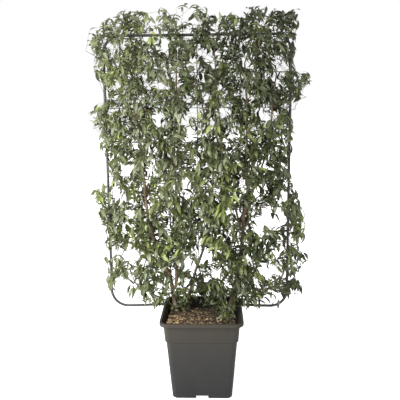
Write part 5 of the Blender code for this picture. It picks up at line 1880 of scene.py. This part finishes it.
# Low shoots from the stems' feet: x, y, number and reach of each clump
BASAL_CLUMPS = ((0.165, 0.13, 18, 0.055), (0.205, 0.16, 9, 0.035), (0.11, 0.12, 7, 0.04),
                (0.15, 0.02, 5, 0.025), (0.14, -0.045, 4, 0.018),
                (0.07, 0.165, 4, 0.03), (-0.125, 0.15, 5, 0.03),
                (-0.164, 0.125, 12, 0.045), (-0.205, 0.15, 7, 0.03), (-0.195, 0.09, 3, 0.02))
BASAL_LENGTH = (0.055, 0.13)
BASAL_SIZE = 0.68
BASAL_ROOM = 0.012
BASAL_PLACE = (0.4, 1.0)
BASAL_LEAN = (0.1, 0.5)
BASAL_STALK = (0.01, 0.035)


def basal_blades(rng):
    """Where each low shoot stands on the mulch, and the blade that it carries on to."""
    blades = []
    for x, y, count, reach in BASAL_CLUMPS:
        for _ in range(count):
            turn = rng.uniform(0, 2 * math.pi)
            out = Vector((math.cos(turn), math.sin(turn), 0))
            foot = Vector((x, y, 0)) + out * reach * rng.uniform(*BASAL_PLACE)
            inner = wall_half(SOIL_TOP) - 2 * BASAL_ROOM
            foot.x = clamped(foot.x, -inner, inner)
            foot.y = min(inner, foot.y)
            foot.z = soil_height(foot.x, foot.y) - TWIG_SOCKET
            along = (out * rng.uniform(*BASAL_LEAN) + UP).normalized()
            root = foot + along * rng.uniform(*BASAL_STALK)
            blades.append((foot, leaf_shape(root, along, out, rng.uniform(*BASAL_LENGTH)), BASAL_SIZE))
    return blades


# Sprays that hang from a stem over the rim: height, length of twig, and the way they point
OVERHANGING = {
    "left_stem": ((0.545, 0.05, (-1.0, 0.1, -0.2)), (0.5, 0.045, (-1.0, -1.0, -0.1)),
                  (0.5, 0.055, (-1.0, -0.6, -0.5)), (0.51, 0.04, (1.0, -0.3, -0.2))),
    "right_stem": ((0.5, 0.045, (1.0, -0.4, -0.35)), (0.53, 0.06, (1.0, -0.7, -0.5)),
                   (0.48, 0.035, (-1.0, -0.6, -0.1)), (0.52, 0.04, (-0.7, -1.0, -0.4)),
                   (0.55, 0.06, (1.0, 0.1, -0.4))),
    "middle_stem": ((0.48, 0.04, (1.0, -0.5, 0.0)), (0.51, 0.05, (1.0, -0.2, -0.3)),
                    (0.5, 0.04, (-1.0, -0.6, -0.2))),
}
OVERHANG_LENGTH = (0.08, 0.12)
OVERHANG_SIZE = 0.85


def overhanging_blades(rng, limbs):
    """Where each low spray leaves its stem, and the blade that it carries on to."""
    blades = []
    for name, sprays in OVERHANGING.items():
        for height, reach, way in sprays:
            foot, out = seat(limbs[name], point_at(limbs[name], height), Vector((way[0], way[1], 0)))
            root = foot + (out + Vector((0, 0, way[2] / 2))).normalized() * reach
            blade = leaf_shape(root, Vector(way).normalized(), UP, rng.uniform(*OVERHANG_LENGTH))
            blades.append((foot, blade, OVERHANG_SIZE))
    return blades


def basal_leaf_fits(leaf, bars):
    """Whether a low leaf stays over the mulch or outside the pot, and clear of the stems."""
    for point in (leaf["tip"], *leaf["sides"]):
        away = max(abs(point.x), abs(point.y))
        inside = away < wall_half(min(point.z, POT_HEIGHT)) - BASAL_ROOM and point.z > SOIL_TOP
        if not inside and point.z < POT_HEIGHT + BASAL_ROOM and away < RIM_HALF + BASAL_ROOM:
            return False
    return bare_wood_shows(leaf) and leaf_clear_of_bars(leaf, bars)


# Small weeds on the mulch: x, y, number of leaves and height of each tuft
WEED_TUFTS = ((0.118, 0.03, 7, 0.035), (0.15, 0.062, 9, 0.045), (0.176, 0.02, 6, 0.03),
              (0.09, 0.075, 6, 0.035), (-0.02, 0.09, 5, 0.03),
              (0.15, -0.045, 8, 0.034), (0.182, -0.095, 8, 0.036), (0.128, -0.105, 6, 0.024),
              (0.17, -0.15, 7, 0.03))
WEED_RISE = (0.4, 1.6)
WEED_STRAY = 0.006
WEED_LIFT = 0.001
WEED_LENGTH = (0.6, 1.1)
WEED_WIDTH = (0.16, 0.34)
WEED_FACING = 0.3
WEED_BEND = (0.5, 1.6)
WEED_FOLD = (0.2, 0.5)


def make_weeds():
    """A few low tufts of self-sown weeds round the right stem."""
    rng = random.Random("weeds %d" % SEED)
    leaves = []
    for x, y, count, height in WEED_TUFTS:
        for index in range(count):
            turn = 2 * math.pi * (index + rng.random()) / count
            along = Vector((math.cos(turn), math.sin(turn), rng.uniform(*WEED_RISE))).normalized()
            foot_x, foot_y = x + rng.gauss(0, WEED_STRAY), y + rng.gauss(0, WEED_STRAY)
            root = Vector((foot_x, foot_y, soil_height(x, y) + WEED_LIFT))
            length = height * rng.uniform(*WEED_LENGTH)
            leaf = leaf_shape(root, along, UP - along * WEED_FACING, length, rng.uniform(*WEED_WIDTH))
            leaf.update(bend=rng.uniform(*WEED_BEND), fold=rng.uniform(*WEED_FOLD), wave=0.0)
            leaves.append(leaf)
    leaves_piece("weeds", leaves, leaf_look("weed_leaf", (0.062, 0.084, 0.03), 0.5))


# Camera, floor and light

AMBIENT = 0.8
FLOOR_GLOW = 0.85
SUN_STRENGTH = 1.3
SUN_SOFTNESS = math.radians(28)
SUN_PLACE = (-0.55, -1.0, 1.25)
NEAR_PLACE = (-1.45, -1.15, 1.25)
NEAR_TARGET = (-0.25, 0.1, 1.05)
NEAR_POWER = 48.0
NEAR_SIZE = 0.9
FLOOR_HALF = 30.0


def make_camera():
    """The camera at the photograph's place and angle."""
    pan, tilt, roll = CAMERA_PAN, CAMERA_TILT, CAMERA_ROLL
    forward = Vector((math.sin(pan) * math.cos(tilt), math.cos(pan) * math.cos(tilt), -math.sin(tilt)))
    right = Vector((math.cos(pan), -math.sin(pan), 0))
    up = right.cross(forward)
    rolled_right = right * math.cos(roll) + up * math.sin(roll)
    rolled_up = up * math.cos(roll) - right * math.sin(roll)
    lens = bpy.data.cameras.new("camera")
    lens.sensor_width = 36.0
    lens.lens = CAMERA_LENS
    camera = placed("camera", lens)
    turn = Matrix((rolled_right, rolled_up, -forward)).transposed().to_4x4()
    camera.matrix_world = Matrix.Translation(CAMERA_PLACE) @ turn
    bpy.context.scene.camera = camera


def light_strength(tree, socket, given, seen):
    """Two strengths: one for the light that is given, the other for what the camera sees."""
    ray = new_node(tree, "LightPath").outputs["Is Camera Ray"]
    strength = new_node(tree, "MapRange", To_Min=given, To_Max=seen, Value=ray)
    tree.links.new(strength.outputs["Result"], socket)


def make_stage():
    """A plain pale floor."""
    corners = [(x * FLOOR_HALF, y * FLOOR_HALF, 0) for x, y in ((-1, -1), (1, -1), (1, 1), (-1, 1))]
    mesh = bpy.data.meshes.new("floor")
    mesh.from_pydata(corners, [], [(0, 1, 2, 3)])
    look = Look("floor_white", (0.9, 0.9, 0.9), 0.9)
    look.inputs["Emission Color"].default_value = WHITE
    light_strength(look.tree, look.inputs["Emission Strength"], 0.0, FLOOR_GLOW)
    mesh.materials.append(look.bump(look.noise(3.0), 0.0005, 0.1).material)
    placed("floor", mesh)


def aimed_light(name, kind, place, target, power):
    """A light that looks from a place at a point."""
    lamp = bpy.data.lights.new(name, kind)
    lamp.energy = power
    item = placed(name, lamp)
    item.location = place
    item.rotation_mode = "QUATERNION"
    item.rotation_quaternion = (Vector(target) - Vector(place)).to_track_quat("-Z", "Y")
    return lamp


def make_light():
    """A pale studio: soft surroundings, one broad light from the front left and a near one at the left."""
    world = bpy.data.worlds.new("studio")
    world.use_nodes = True
    inputs = world.node_tree.nodes["Background"].inputs
    inputs["Color"].default_value = WHITE
    light_strength(world.node_tree, inputs["Strength"], AMBIENT, 1.0)
    bpy.context.scene.world = world
    aimed_light("key", "SUN", SUN_PLACE, (0, 0, 0), SUN_STRENGTH).angle = SUN_SOFTNESS
    near = aimed_light("near", "AREA", NEAR_PLACE, NEAR_TARGET, NEAR_POWER)
    near.shape = "SQUARE"
    near.size = NEAR_SIZE
    bpy.context.scene.view_settings.view_transform = "Standard"


def main():
    """Set the stage, then build the pot, its filling, the frame and the plant."""
    noise.seed_set(SEED)
    make_camera()
    make_stage()
    make_light()
    make_pot()
    make_mulch()
    make_weeds()
    make_frame(steel_look())
    limbs = make_limbs()
    stem_look = bark_look("stem_bark", (0.085, 0.066, 0.045), (0.16, 0.126, 0.086), (0.26, 0.21, 0.15))
    bough_look = bark_look("bark", (0.165, 0.108, 0.074), (0.31, 0.215, 0.15), (0.44, 0.34, 0.25))
    for name, limb in limbs.items():
        make_bark(name, limb, stem_look if name.endswith("_stem") else bough_look)
    make_crown(limbs)


main()
